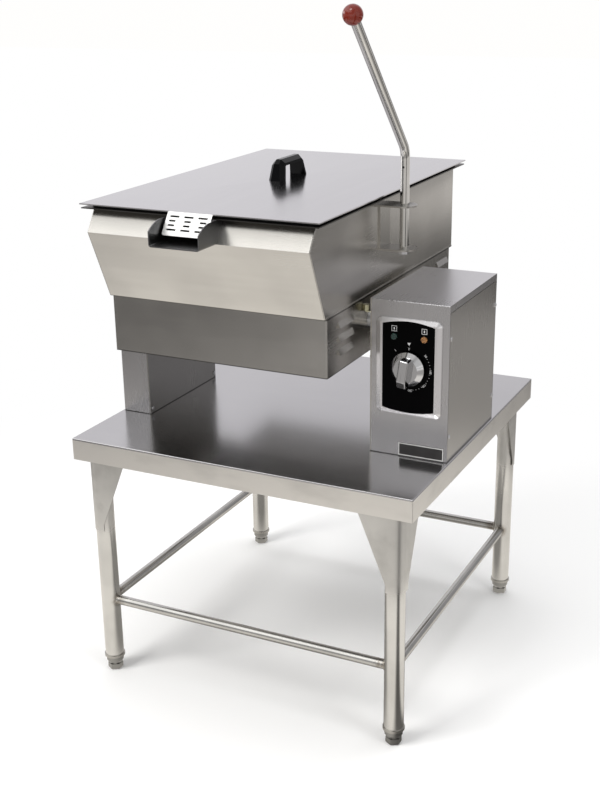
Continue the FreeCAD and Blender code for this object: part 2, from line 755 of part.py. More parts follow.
def drill_front(body, y0, y1):
    """Holes for the two lamps and for the neck of the thermostat."""
    for sx in (-1, 1):
        place = V(BOX_MID + sx * LAMP_SPREAD, y0, LAMP_Z)
        body = body.cut(rod(place, AXIS_Y, HALF * LAMP_BODY_D, y1 - y0))
    return body.cut(rod(V(BOX_MID, y0, SPINDLE_Z), AXIS_Y, HALF * NECK_D, y1 - y0))


def box_wrapper():
    """Control box: front, top and back in one folded sheet with folds at its edges."""
    left = BOX_LEFT + BEARING_PANEL_T
    right = BOX_RIGHT - SIDE_SHEET
    body = block(left, BOX_RIGHT, SIDE_FRONT, SIDE_BACK, TABLE_TOP, SIDE_TOP)
    top_bends = lambda e: e.CenterOfMass.z > SIDE_TOP - SIDE_SHEET and along(e, AXIS_X)
    body = round_edges(body, SIDE_SHEET, top_bends)
    hollow = block(left, BOX_RIGHT, SIDE_FRONT + SIDE_SHEET, SIDE_BACK - SIDE_SHEET,
                   TABLE_TOP, SIDE_TOP - SIDE_SHEET)
    body = body.cut(hollow)
    band = block(right, BOX_RIGHT, SIDE_FRONT, SIDE_BACK, SIDE_TOP - TOP_BAND, SIDE_TOP - SIDE_SHEET)
    folds = foot_folds(left, right)
    folds += edge_folds(left, left + SIDE_SHEET, SIDE_TOP - SIDE_SHEET)
    folds += edge_folds(right - SIDE_SHEET, right, SIDE_TOP - SIDE_SHEET)
    body = joined([body, band, bezel_block(0)] + folds).cut(bezel_block(SIDE_SHEET))
    body = body.cut(bearing_notch(left, left + SIDE_SHEET))
    body = drill_screws(body, bearing_panel_screws(), left, left + SIDE_SHEET)
    body = drill_screws(body, cover_screws(), right - SIDE_SHEET, right)
    body = drill_front(body, SIDE_FRONT, SIDE_FRONT + SIDE_SHEET)
    gland = rod(V(BOX_MID, SIDE_BACK - SIDE_SHEET, GLAND_Z), AXIS_Y, HALF * GLAND_BODY_D, SIDE_SHEET)
    return drill_hold_downs(body.cut(gland))


def box_left_panel():
    """Thick inner side of the control box that carries the right bearing."""
    return bearing_panel(BOX_LEFT, 1)


def box_right_cover():
    """Screwed side cover under the folded band of the top."""
    left = BOX_RIGHT - SIDE_SHEET
    gap = SIDE_SHEET + COVER_GAP
    high = SIDE_TOP - TOP_BAND - COVER_GAP
    body = block(left, BOX_RIGHT, SIDE_FRONT + gap, SIDE_BACK - gap, TABLE_TOP, high)
    return drill_screws(body, cover_screws(), left, BOX_RIGHT)


def panel_screw(x_face, direction, y, z, depth):
    """Pan-head screw; direction points into the housing."""
    face = V(x_face, y, z)
    shank = rod(face, AXIS_X * direction, HALF * SCREW_D, depth + SCREW_TIP)
    head = rod(face, AXIS_X * -direction, HALF * SCREW_HEAD_D, SCREW_HEAD_H)
    outer_edge = lambda e: abs(e.CenterOfMass.x - x_face) > HALF * SCREW_HEAD_H
    head = round_edges(head, HALF * SCREW_HEAD_H, outer_edge)
    return shank.fuse(head).removeSplitter()


def panel_screws():
    """All the small screws of the side panels."""
    screws = []
    thick = BEARING_PANEL_T + SIDE_SHEET
    for y, z in bearing_panel_screws():
        screws.append(panel_screw(PED_RIGHT, -1, y, z, thick))
        screws.append(panel_screw(BOX_LEFT, 1, y, z, thick))
    for y, z in cover_screws():
        screws.append(panel_screw(BOX_RIGHT, -1, y, z, SIDE_SHEET + SIDE_SHEET))
    return Part.makeCompound(screws)


def bearing_length():
    """Length of the bore through a bearing housing."""
    return BEARING_BOSS_OUT + BEARING_PANEL_T + BEARING_FLANGE_T + BEARING_HUB_L


def oval_flange(x, side):
    """Flange with rounded ends round the bolts above and below the axis."""
    axis = AXIS_X * side
    end_r = HALF * WASHER_D
    xs = sorted([x, x + side * BEARING_FLANGE_T])
    pieces = [rod(V(x, PIVOT_Y, PIVOT_Z), axis, HALF * BEARING_W, BEARING_FLANGE_T)]
    pieces.append(block(xs[0], xs[1], PIVOT_Y - end_r, PIVOT_Y + end_r,
                        PIVOT_Z - BEARING_BOLT_Z, PIVOT_Z + BEARING_BOLT_Z))
    for z in bearing_bolt_heights():
        pieces.append(rod(V(x, PIVOT_Y, z), axis, end_r, BEARING_FLANGE_T))
    return joined(pieces)


def bearing(face_x, side):
    """Two-bolt bearing housing; side points from the pan into the side housing."""
    out_x = face_x - side * BEARING_BOSS_OUT
    axis = AXIS_X * side
    boss = rod(V(out_x, PIVOT_Y, PIVOT_Z), axis, HALF * BOSS_D, BEARING_BOSS_OUT + BEARING_PANEL_T)
    seat_x = face_x + side * BEARING_PANEL_T
    hub = rod(V(seat_x, PIVOT_Y, PIVOT_Z), axis, HALF * BEARING_W, BEARING_FLANGE_T + BEARING_HUB_L)
    body = joined([boss, hub, oval_flange(seat_x, side)])
    body = body.cut(rod(V(out_x, PIVOT_Y, PIVOT_Z), axis, HALF * BUSH_D, bearing_length()))
    for z in bearing_bolt_heights():
        body = body.cut(rod(V(seat_x, PIVOT_Y, z), axis, HALF * BOLT_D, BEARING_FLANGE_T))
    return body


def bush(face_x, side):
    """Bronze bush pressed into a bearing housing."""
    out_x = face_x - side * BEARING_BOSS_OUT
    inner = HALF * SHAFT_D + RUN_GAP
    return tube(V(out_x, PIVOT_Y, PIVOT_Z), AXIS_X * side, HALF * BUSH_D, inner, bearing_length())


def bearing_bolt(face_x, side, z):
    """Countersunk bolt with washer and nut behind the bearing flange."""
    grip = BEARING_PANEL_T + BEARING_FLANGE_T
    axis = AXIS_X * side
    shank = flat_head(z, face_x, side, grip + WASHER_T + NUT_H + BOLT_TIP)
    washer = rod(V(face_x + side * grip, PIVOT_Y, z), axis, HALF * WASHER_D, WASHER_T)
    nut = hexagon(V(face_x + side * (grip + WASHER_T), PIVOT_Y, z), axis, BOLT_AF, NUT_H)
    return joined([shank, washer, nut])


def through_bolt(head_seat, axis, grip):
    """Hexagon bolt with washer and nut; axis points from the head to the nut."""
    head = hexagon(head_seat - axis * BOLT_HEAD_H, axis, BOLT_AF, BOLT_HEAD_H)
    nut_seat = head_seat + axis * grip
    washer = rod(nut_seat, axis, HALF * WASHER_D, WASHER_T)
    nut = hexagon(nut_seat + axis * WASHER_T, axis, BOLT_AF, NUT_H)
    shank = rod(head_seat, axis, HALF * BOLT_D, grip + WASHER_T + NUT_H + BOLT_TIP)
    return joined([shank, head, washer, nut])


def stand_bolts():
    """Bolts of the two bearings and of the housings on the table."""
    bolts = []
    for z in bearing_bolt_heights():
        bolts.append(bearing_bolt(PED_RIGHT, -1, z))
        bolts.append(bearing_bolt(BOX_LEFT, 1, z))
    for place in hold_down_places():
        bolts.append(through_bolt(place + AXIS_Z * SIDE_SHEET, AXIS_Z * -1, SIDE_SHEET + TABLE_SHEET))
    return Part.makeCompound(bolts)


def rest_bar():
    """Square tube between the housings that the pan rests on when level."""
    top = BASE_BOTTOM - BUFFER_H
    half = HALF * REST_BAR
    inside = half - REST_BAR_WALL
    outer = block(PED_RIGHT, BOX_LEFT, REST_Y - half, REST_Y + half, top - REST_BAR, top)
    hollow = block(PED_RIGHT, BOX_LEFT, REST_Y - inside, REST_Y + inside,
                   top - REST_BAR + REST_BAR_WALL, top - REST_BAR_WALL)
    return outer.cut(hollow)


def rest_buffers():
    """Rubber buffers on the rest bar, just under the heater housing."""
    low = BASE_BOTTOM - BUFFER_H
    pads = []
    for sx in (-1, 1):
        base = V(PAN_MID + sx * BUFFER_SPREAD, REST_Y, low)
        pads.append(rod(base, AXIS_Z, HALF * BUFFER_D, BUFFER_H - MOVE_GAP))
    return Part.makeCompound(pads)


def fascia_plate():
    """Black control panel lying in the pressed frame."""
    body = front_outline(FASCIA_W, FASCIA_H, FASCIA_ARCH).extrude(V(0, -FASCIA_T, 0))
    return drill_front(body, SIDE_FRONT - FASCIA_T, SIDE_FRONT)


def lamp(sx):
    """Signal lamp: domed lens, round body through the panel and a nut behind it."""
    x = BOX_MID + sx * LAMP_SPREAD
    face = SIDE_FRONT - FASCIA_T
    lens = rod(V(x, face - LAMP_LENS_OUT, LAMP_Z), AXIS_Y, HALF * LAMP_LENS_D, LAMP_LENS_OUT)
    front_edge = lambda e: e.CenterOfMass.y < face - HALF * LAMP_LENS_OUT
    lens = round_edges(lens, HALF * LAMP_LENS_OUT, front_edge)
    body = rod(V(x, face, LAMP_Z), AXIS_Y, HALF * LAMP_BODY_D, LAMP_BODY_L)
    nut = hexagon(V(x, SIDE_FRONT + SIDE_SHEET, LAMP_Z), AXIS_Y, LAMP_NUT_AF, LAMP_NUT_H)
    return joined([lens, body, nut])


def badge_plate():
    """Bare plate in the lower corner of the front."""
    right = BOX_RIGHT - BADGE_IN
    return rounded_block(right - BADGE_W, right, SIDE_FRONT - BADGE_T, SIDE_FRONT,
                         BADGE_Z, BADGE_Z + BADGE_H, BADGE_T, AXIS_Y)


def thermostat_body():
    """Thermostat behind the front, with its neck through the panel."""
    back = SIDE_FRONT + SIDE_SHEET
    case = block(BOX_MID - HALF * THERMO_W, BOX_MID + HALF * THERMO_W, back, back + THERMO_L,
                 SPINDLE_Z - HALF * THERMO_H, SPINDLE_Z + HALF * THERMO_H)
    front = SIDE_FRONT - NECK_OUT
    neck = rod(V(BOX_MID, front, SPINDLE_Z), AXIS_Y, HALF * NECK_D, back - front)
    bore = rod(V(BOX_MID, front, SPINDLE_Z), AXIS_Y, HALF * SPINDLE_D + RUN_GAP, NECK_OUT + SPINDLE_IN)
    return joined([case, neck]).cut(bore)


def spindle_bar(y0, y1):
    """Spindle outline with its flat, turned with the knob."""
    bar = rod(V(BOX_MID, y0, SPINDLE_Z), AXIS_Y, HALF * SPINDLE_D, y1 - y0)
    flat = SPINDLE_Z + SPINDLE_FLAT - HALF * SPINDLE_D
    cut = block(BOX_MID - SPINDLE_D, BOX_MID + SPINDLE_D, y0, y1, flat, flat + SPINDLE_D)
    bar = bar.cut(cut)
    bar.rotate(V(BOX_MID, 0, SPINDLE_Z), AXIS_Y, KNOB_TURN)
    return bar


def thermostat_spindle():
    """Thermostat spindle from the knob into the thermostat."""
    return spindle_bar(SIDE_FRONT - SPINDLE_OUT, SIDE_FRONT + SPINDLE_IN - MOVE_GAP)


def thermostat_knob():
    """Knob with a thin skirt, a low dome and a bar grip that is also the pointer."""
    back = SIDE_FRONT - NECK_OUT - KNOB_GAP
    centre = V(BOX_MID, back, SPINDLE_Z)
    front = back - KNOB_H
    end = SPINDLE_Z + KNOB_GRIP_DOWN
    dome_r = HALF * KNOB_DOME_D
    outline = [(0, 0), (HALF * KNOB_D, 0), (HALF * KNOB_D, KNOB_SKIRT_H)]
    outline += [(dome_r, KNOB_DOME_H - KNOB_EDGE_R), (dome_r - KNOB_EDGE_R, KNOB_DOME_H), (0, KNOB_DOME_H)]
    body = turned(outline, centre, AXIS_Y * -1, AXIS_X)
    grip = block(BOX_MID - HALF * KNOB_GRIP_W, BOX_MID + HALF * KNOB_GRIP_W,
                 front, back - KNOB_SKIRT_H, SPINDLE_Z - KNOB_GRIP_UP, end)
    wedge = [(front, end - KNOB_SLOPE_L), (front + KNOB_SLOPE_DEPTH, end), (front, end)]
    grip = grip.cut(prism_x(wedge, BOX_MID - KNOB_GRIP_W, BOX_MID + KNOB_GRIP_W))
    grip = round_edges(grip, KNOB_EDGE_R, lambda e: e.CenterOfMass.y < back - KNOB_SKIRT_H)
    mark = block(BOX_MID - HALF * KNOB_MARK_W, BOX_MID + HALF * KNOB_MARK_W,
                 front, front + KNOB_MARK_DEPTH, SPINDLE_Z, end)
    body = joined([body, grip]).cut(mark)
    body.rotate(V(BOX_MID, 0, SPINDLE_Z), AXIS_Y, KNOB_TURN)
    return body.cut(spindle_bar(SIDE_FRONT - SPINDLE_OUT, back))


def terminal_block():
    """Supply terminal block on the back of the control box."""
    back = SIDE_BACK - SIDE_SHEET
    x0 = BOX_MID - HALF * BLOCK_W
    body = block(x0, x0 + BLOCK_W, back - BLOCK_D, back, BLOCK_Z, BLOCK_Z + BLOCK_H)
    pitch = BLOCK_W / BLOCK_WAYS
    for k in range(BLOCK_WAYS):
        x = x0 + pitch * (k + HALF) - HALF * BLOCK_CELL
        cell = block(x, x + BLOCK_CELL, back - BLOCK_D, back - BLOCK_D + BLOCK_CELL_DEPTH,
                     BLOCK_Z + HALF * (BLOCK_H - BLOCK_CELL), BLOCK_Z + HALF * (BLOCK_H + BLOCK_CELL))
        body = body.cut(cell)
    return body


def cable_gland():
    """Cable inlet through the back of the control box: lock nut, body and cap nut."""
    inside = V(BOX_MID, SIDE_BACK - SIDE_SHEET - GLAND_LOCK_L, GLAND_Z)
    lock = hexagon(inside, AXIS_Y, GLAND_NUT_AF, GLAND_LOCK_L)
    neck = rod(inside, AXIS_Y, HALF * GLAND_BODY_D, GLAND_LOCK_L + SIDE_SHEET)
    outside = V(BOX_MID, SIDE_BACK, GLAND_Z)
    body = hexagon(outside, AXIS_Y, GLAND_NUT_AF, GLAND_BODY_L)
    cap = rod(outside + AXIS_Y * GLAND_BODY_L, AXIS_Y, HALF * GLAND_NUT_AF, GLAND_NUT_L)
    cap_mid = SIDE_BACK + GLAND_BODY_L + HALF * GLAND_NUT_L
    rim = lambda e: e.CenterOfMass.y > cap_mid and isinstance(e.Curve, Part.Circle)
    cap = round_edges(cap, GLAND_EDGE_R, rim)
    shape = joined([lock, neck, body, cap])
    length = GLAND_LOCK_L + SIDE_SHEET + GLAND_BODY_L + GLAND_NUT_L
    return shape.cut(rod(inside, AXIS_Y, HALF * GLAND_BORE_D, length))


def case_outline():
    """Side view of the pan casing, anticlockwise in (Y, Z)."""
    outline = [(CASE_FRONT_BOTTOM, CASE_BOTTOM), (CASE_BACK, CASE_BOTTOM), (CASE_BACK, RIM_UNDER)]
    return outline + [(CASE_FRONT_TOP, RIM_UNDER), (CASE_BREAK_Y, CASE_BREAK_Z)]


def liner_outline(low, high, wall):
    """Side view of the cooking well at a distance inside the casing."""
    drawn = inward(case_outline(), wall)
    front_low, front_top, front_break = drawn[0], drawn[3], drawn[4]
    slope_low = (front_low[0] - front_break[0]) / (front_low[1] - front_break[1])
    slope_top = (front_top[0] - front_break[0]) / (front_top[1] - front_break[1])
    low_y = front_break[0] + slope_low * (low - front_break[1])
    top_y = front_break[0] + slope_top * (high - front_break[1])
    back = CASE_BACK - wall
    return [(low_y, low), (back, low), (back, high), (top_y, high), front_break]


def liner_bar(wall, radius):
    """Solid with the form of the cooking well."""
    grow = WALL_GAP - wall
    outline = liner_outline(LINER_BOTTOM - LINER_T, RIM_TOP + RIM_T, wall)
    body = prism_x(outline, LINER_LEFT - grow, LINER_RIGHT + grow)
    return round_edges(body, radius, lambda e: e.BoundBox.ZLength > RIM_TOP - CASE_BREAK_Z)


def spout_envelope():
    """Space that the spout takes through the front walls, with its bent lower edges."""
    half = HALF * SPOUT_W
    body = block(SPOUT_X - half, SPOUT_X + half, SPOUT_TIP, 0, SPOUT_BOTTOM, RIM_UNDER)
    lower_bends = lambda e: along(e, AXIS_Y) and e.CenterOfMass.z < SPOUT_BOTTOM + SPOUT_T
    return round_edges(body, SPOUT_BEND_R, lower_bends)


def well_bar():
    """The hollow of the cooking well."""
    return liner_bar(WALL_GAP, LINER_CORNER_R)


def pan_liner():
    """Walls of the cooking well with the flat rim flange on top, open below for the plate."""
    outer = liner_bar(WALL_GAP - LINER_T, LINER_CORNER_R + LINER_T)
    trim = block(CASE_LEFT, CASE_RIGHT, RIM_FRONT, RIM_BACK, LINER_BOTTOM, RIM_UNDER)
    walls = outer.common(trim).cut(spout_envelope())
    rim = block(CASE_LEFT - RIM_SIDE, CASE_RIGHT + RIM_SIDE, RIM_FRONT, RIM_BACK, RIM_UNDER, RIM_TOP)
    return joined([walls, rim]).cut(well_bar())


def cooking_plate():
    """Thick steel bottom of the well."""
    slab = block(LINER_LEFT, LINER_RIGHT, RIM_FRONT, RIM_BACK, PLATE_BOTTOM, PLATE_BOTTOM + PLATE_T)
    return well_bar().common(slab)


def pan_casing():
    """Outer shell of the pan with the angled front, open above and below."""
    body = prism_x(case_outline(), CASE_LEFT, CASE_RIGHT)
    profile_edges = lambda e: abs(e.BoundBox.XLength) < CASE_T and e.BoundBox.ZLength > CASE_T
    body = round_edges(body, CASE_EDGE_R, profile_edges)
    hollow = prism_x(inward(case_outline(), CASE_T), CASE_LEFT + CASE_T, CASE_RIGHT - CASE_T)
    mouth = prism_x(inward(case_outline(), CASE_EDGE_R), CASE_LEFT + CASE_EDGE_R, CASE_RIGHT - CASE_EDGE_R)
    mouth.translate(AXIS_Z * CASE_EDGE_R)
    below = block(CASE_LEFT + CASE_FLANGE, CASE_RIGHT - CASE_FLANGE,
                  CASE_FRONT_BOTTOM + CASE_FLANGE, CASE_BACK - CASE_FLANGE,
                  CASE_BOTTOM, CASE_BOTTOM + CASE_T)
    body = body.cut(hollow).cut(mouth).cut(below).cut(spout_envelope())
    hems = []
    y0 = CASE_FRONT_BOTTOM + CASE_EDGE_R
    y1 = CASE_BACK - CASE_EDGE_R
    for x0 in (CASE_LEFT - HEM_OUT, CASE_RIGHT):
        hems.append(block(x0, x0 + HEM_OUT, y0, y1, CASE_BOTTOM, CASE_BOTTOM + HEM_H))
    return joined([body] + hems)


def pan_spout():
    """Open pouring channel with curved cheeks, through both front walls."""
    half = HALF * SPOUT_W
    tip_top = SPOUT_BOTTOM + SPOUT_TIP_H
    x0 = SPOUT_X - half
    low_back = V(x0, 0, SPOUT_BOTTOM)
    low_tip = V(x0, SPOUT_TIP, SPOUT_BOTTOM)
    high_tip = V(x0, SPOUT_TIP, tip_top)
    curve_end = V(x0, SPOUT_CURVE_Y, RIM_UNDER)
    high_back = V(x0, 0, RIM_UNDER)
    edges = [Part.makeLine(low_back, low_tip), Part.makeLine(low_tip, high_tip)]
    edges.append(Part.Arc(high_tip, V(x0, SPOUT_MID_Y, SPOUT_MID_Z), curve_end).toShape())
    edges += [Part.makeLine(curve_end, high_back), Part.makeLine(high_back, low_back)]
    side = Part.Face(Part.Wire(edges)).extrude(V(SPOUT_W, 0, 0))
    side = side.common(spout_envelope())
    inner = half - SPOUT_T
    hollow = rounded_block(SPOUT_X - inner, SPOUT_X + inner, SPOUT_TIP, 0,
                           SPOUT_BOTTOM + SPOUT_T, RIM_TOP + SPOUT_W, SPOUT_BEND_R - SPOUT_T, AXIS_Y)
    return side.cut(hollow).cut(well_bar())


def louvre(x_face, side, y0, z_top):
    """Hood of one pressed louvre, open below; side is +1 on the right of the housing."""
    out = x_face + side * LOUVRE_OUT
    low = z_top - LOUVRE_H
    outline = [(x_face, z_top), (out, low), (out - side * BASE_T, low), (x_face, z_top - BASE_T)]
    hood = prism_y(outline, y0, y0 + LOUVRE_LENGTH)
    cheek = [(x_face, z_top), (out, low), (x_face, low)]
    near = prism_y(cheek, y0, y0 + BASE_T)
    far = prism_y(cheek, y0 + LOUVRE_LENGTH - BASE_T, y0 + LOUVRE_LENGTH)
    return [hood, near, far]


def louvre_slot(x_face, side, y0, z_top):
    """Opening in the wall behind a louvre."""
    xs = sorted([x_face, x_face - side * BASE_T])
    y1 = y0 + LOUVRE_LENGTH
    return block(xs[0], xs[1], y0 + BASE_T, y1 - BASE_T, z_top - LOUVRE_H, z_top - BASE_T)


def base_box():
    """Heater housing under the pan with folds above and below and louvred sides."""
    body = rounded_block(BASE_LEFT, BASE_RIGHT, BASE_FRONT, BASE_BACK, BASE_BOTTOM, CASE_BOTTOM,
                         BASE_EDGE_R, AXIS_Z)
    body = body.cut(block(BASE_LEFT + BASE_T, BASE_RIGHT - BASE_T, BASE_FRONT + BASE_T, BASE_BACK - BASE_T,
                          BASE_BOTTOM + BASE_T, CASE_BOTTOM - BASE_T))
    body = body.cut(block(BASE_LEFT + BASE_FLANGE, BASE_RIGHT - BASE_FLANGE,
                          BASE_FRONT + BASE_FLANGE, BASE_BACK - BASE_FLANGE, BASE_BOTTOM, CASE_BOTTOM))
    hoods = []
    starts = (BASE_FRONT + LOUVRE_FROM_FRONT, BASE_BACK - LOUVRE_FROM_BACK - LOUVRE_LENGTH)
    for k in range(LOUVRE_COUNT):
        z_top = LOUVRE_TOP_Z - k * LOUVRE_PITCH
        for y0 in starts:
            for x_face, side in ((BASE_LEFT, -1), (BASE_RIGHT, 1)):
                body = body.cut(louvre_slot(x_face, side, y0, z_top))
                hoods += louvre(x_face, side, y0, z_top)
    bosses = []
    for face_x, side in ((BASE_LEFT, -1), (BASE_RIGHT, 1)):
        bosses += pivot_boss(face_x, side)
    body = joined([body] + hoods + bosses)
    for face_x, side in ((BASE_LEFT, -1), (BASE_RIGHT, 1)):
        inner_x = face_x - side * (BASE_T + BOSS_INSIDE)
        length = BASE_T + BOSS_INSIDE + boss_reach()
        body = body.cut(rod(V(inner_x, PIVOT_Y, PIVOT_Z), AXIS_X * side, HALF * SHAFT_D, length))
        body = body.cut(lock_bolt_space(face_x, side))
    return body


def boss_reach():
    """How far a pivot boss stands out of the heater housing."""
    return PAN_CLEAR + BASE_SIDE_IN - BEARING_BOSS_OUT - BOSS_GAP


def pivot_boss(face_x, side):
    """Boss and doubler welded through the wall of the heater housing; side is +1 on the right."""
    axis = AXIS_X * side
    inner_x = face_x - side * (BASE_T + BOSS_INSIDE)
    boss = rod(V(inner_x, PIVOT_Y, PIVOT_Z), axis, HALF * BOSS_D, BASE_T + BOSS_INSIDE + boss_reach())
    doubler_x = face_x - side * (BASE_T + DOUBLER_T)
    doubler = rod(V(doubler_x, PIVOT_Y, PIVOT_Z), axis, DOUBLER_R, DOUBLER_T)
    return [boss, doubler]


def lock_bolt_x(face_x, side):
    """Axis of the lock bolt, in the middle of the boss."""
    return face_x + side * HALF * boss_reach()


def lock_bolt_space(face_x, side):
    """Threaded hole and spot face on top of a boss."""
    x = lock_bolt_x(face_x, side)
    hole = rod(V(x, PIVOT_Y, PIVOT_Z), AXIS_Z, HALF * BOLT_D, BOSS_D)
    flat = rod(V(x, PIVOT_Y, PIVOT_Z + HALF * BOSS_D - LOCK_FACE), AXIS_Z, HALF * BOSS_D, BOSS_D)
    reach = HALF * boss_reach()
    only = block(x - reach, x + reach, PIVOT_Y - BOSS_D, PIVOT_Y + BOSS_D, PIVOT_Z, PIVOT_Z + BOSS_D)
    return hole.fuse(flat).common(only)


def base_cover():
    """Bottom plate lying on the lower fold of the heater housing."""
    gap = BASE_T + RUN_GAP
    low = BASE_BOTTOM + BASE_T
    return block(BASE_LEFT + gap, BASE_RIGHT - gap, BASE_FRONT + gap, BASE_BACK - gap, low, low + BASE_T)


def insulation_pad():
    """Heat-insulating pad on the bottom plate."""
    gap = BASE_T + MOVE_GAP
    low = BASE_BOTTOM + BASE_T + BASE_T
    return block(BASE_LEFT + gap, BASE_RIGHT - gap, BASE_FRONT + gap, BASE_BACK - gap, low, low + PAD_H)


def half_bend(x, y, z, sign):
    """Half ring that joins two runs of the heating element."""
    start = V(x - HALF * ELEMENT_PITCH, y, z)
    disc = Part.Face(Part.Wire(Part.makeCircle(HALF * ELEMENT_D, start, AXIS_Y)))
    return disc.revolve(V(x, y, z), AXIS_Z * -sign, HALF_TURN)


def heating_element():
    """Bent tubular element against the underside of the cooking plate, with two tails down."""
    z = PLATE_BOTTOM - HALF * ELEMENT_D + SEAT
    first = PAN_MID - HALF * ELEMENT_PITCH * (ELEMENT_RUNS - 1)
    radius = HALF * ELEMENT_D
    shapes = []
    for k in range(ELEMENT_RUNS):
        x = first + k * ELEMENT_PITCH
        shapes.append(rod(V(x, ELEMENT_FRONT, z), AXIS_Y, radius, ELEMENT_BACK - ELEMENT_FRONT))
    for k in range(ELEMENT_RUNS - 1):
        x = first + (k + HALF) * ELEMENT_PITCH
        if k % 2 == 0:
            shapes.append(half_bend(x, ELEMENT_FRONT, z, -1))
        else:
            shapes.append(half_bend(x, ELEMENT_BACK, z, 1))
    for x in (first, first + ELEMENT_PITCH * (ELEMENT_RUNS - 1)):
        shapes.append(rod(V(x, ELEMENT_BACK, z), AXIS_Z * -1, radius, ELEMENT_TAIL))
        shapes.append(Part.makeSphere(radius, V(x, ELEMENT_BACK, z)))
    return joined(shapes).cut(cooking_plate())


def trunnion(face_x, side):
    """Hollow pivot shaft from inside the boss through the bearing; side is +1 on the right."""
    axis = AXIS_X * side
    seat_x = face_x - side * (BASE_T + BOSS_INSIDE)
    inner_end = V(seat_x - side * SHAFT_HEAD_T, PIVOT_Y, PIVOT_Z)
    head = rod(inner_end, axis, HALF * SHAFT_HEAD_D, SHAFT_HEAD_T)
    length = BASE_T + BOSS_INSIDE + boss_reach() + BOSS_GAP + bearing_length() + SHAFT_END
    shaft = rod(V(seat_x, PIVOT_Y, PIVOT_Z), axis, HALF * SHAFT_D, length)
    bore = rod(inner_end, axis, HALF * SHAFT_BORE_D, SHAFT_HEAD_T + length)
    return joined([head, shaft]).cut(bore).cut(lock_bolt(face_x, side))


def lock_bolt(face_x, side):
    """Hexagon bolt with its lock nut on top of a boss, bedded into the shaft."""
    x = lock_bolt_x(face_x, side)
    tip = V(x, PIVOT_Y, PIVOT_Z + HALF * SHAFT_D - SEAT)
    face = V(x, PIVOT_Y, PIVOT_Z + HALF * BOSS_D - LOCK_FACE)
    nut = hexagon(face, AXIS_Z, BOLT_AF, LOCK_NUT_H)
    head = hexagon(face + AXIS_Z * LOCK_NUT_H, AXIS_Z, BOLT_AF, BOLT_HEAD_H)
    shank = rod(tip, AXIS_Z, HALF * BOLT_D, face.z - tip.z)
    return joined([shank, nut, head])


def trunnion_lock_bolts():
    """The lock bolts of both pivot shafts."""
    return Part.makeCompound([lock_bolt(BASE_LEFT, -1), lock_bolt(BASE_RIGHT, 1)])


def bracket_flange(z):
    """One flange of the lever bracket with its rounded end."""
    half = HALF * BRACKET_W
    straight = block(CASE_RIGHT, LEVER_X, LEVER_Y - half, LEVER_Y + half, z, z + BRACKET_T)
    end = rod(V(LEVER_X, LEVER_Y, z), AXIS_Z, half, BRACKET_T)
    return straight.fuse(end)


def lever_bracket():
    """Bent bracket on the right wall of the pan that holds the lever in its two flanges."""
    half = HALF * BRACKET_W
    top = BRACKET_LOW + BRACKET_H
    web = block(CASE_RIGHT, CASE_RIGHT + BRACKET_T, LEVER_Y - half, LEVER_Y + half, BRACKET_LOW, top)
    body = joined([web, bracket_flange(BRACKET_LOW), bracket_flange(top - BRACKET_T)])
    body = body.cut(rod(V(LEVER_X, LEVER_Y, top - BRACKET_T), AXIS_Z, HALF * LEVER_D, BRACKET_T))
    return body.cut(rod(V(LEVER_X, LEVER_Y, BRACKET_LOW), AXIS_Z, HALF * LEVER_BOLT_D, BRACKET_T))


def lever_bar(radius):
    """Bar along the bent line of the lever."""
    tilt = math.atan2(LEVER_FORWARD, LEVER_UP)
    tangent = LEVER_BEND_R * math.tan(HALF * tilt)
    low = BRACKET_LOW + BRACKET_T
    start = V(LEVER_X, LEVER_Y, low)
    lower = rod(start, AXIS_Z, radius, LEVER_BEND_Z - tangent - low)
    centre = V(LEVER_X, LEVER_Y - LEVER_BEND_R, LEVER_BEND_Z - tangent)
    bend_start = V(LEVER_X, LEVER_Y, LEVER_BEND_Z - tangent)
    disc = Part.Face(Part.Wire(Part.makeCircle(radius, bend_start, AXIS_Z)))
    bend = disc.revolve(centre, AXIS_X, math.degrees(tilt))
    slope = V(0, -math.sin(tilt), math.cos(tilt))
    knee = V(LEVER_X, LEVER_Y, LEVER_BEND_Z)
    length = math.hypot(LEVER_FORWARD, LEVER_UP) - tangent - HALF * BALL_D + BALL_SEAT
    upper = rod(knee + slope * tangent, slope, radius, length)
    return joined([lower, bend, upper])


def lever_tube():
    """Bent tube of the tilting lever."""
    body = lever_bar(HALF * LEVER_D).cut(lever_bar(HALF * LEVER_D - LEVER_WALL))
    low = BRACKET_LOW + BRACKET_T
    plug_r = HALF * LEVER_D - LEVER_WALL
    plug = tube(V(LEVER_X, LEVER_Y, low), AXIS_Z, plug_r, HALF * LEVER_BOLT_D, LEVER_BOLT_IN)
    hole_z = LEVER_BEND_Z - LEVER_HOLE_DROP
    hole = rod(V(LEVER_X, LEVER_Y - LEVER_D, hole_z), AXIS_Y, HALF * LEVER_HOLE_D, LEVER_D)
    return joined([body, plug]).cut(hole)


def lever_ball():
    """Ball knob on the end of the lever."""
    knee = V(LEVER_X, LEVER_Y, LEVER_BEND_Z)
    centre = knee + V(0, -LEVER_FORWARD, LEVER_UP)
    return Part.makeSphere(HALF * BALL_D, centre).cut(lever_bar(HALF * LEVER_D))


def lever_bolt():
    """Bolt from below the bracket into the plugged end of the lever."""
    seat = V(LEVER_X, LEVER_Y, BRACKET_LOW)
    washer = rod(seat, AXIS_Z * -1, HALF * LEVER_WASHER_D, WASHER_T)
    head = hexagon(seat - AXIS_Z * WASHER_T, AXIS_Z * -1, LEVER_BOLT_AF, LEVER_BOLT_HEAD_H)
    shank = rod(seat, AXIS_Z, HALF * LEVER_BOLT_D, BRACKET_T + LEVER_BOLT_IN)
    return joined([washer, head, shank])


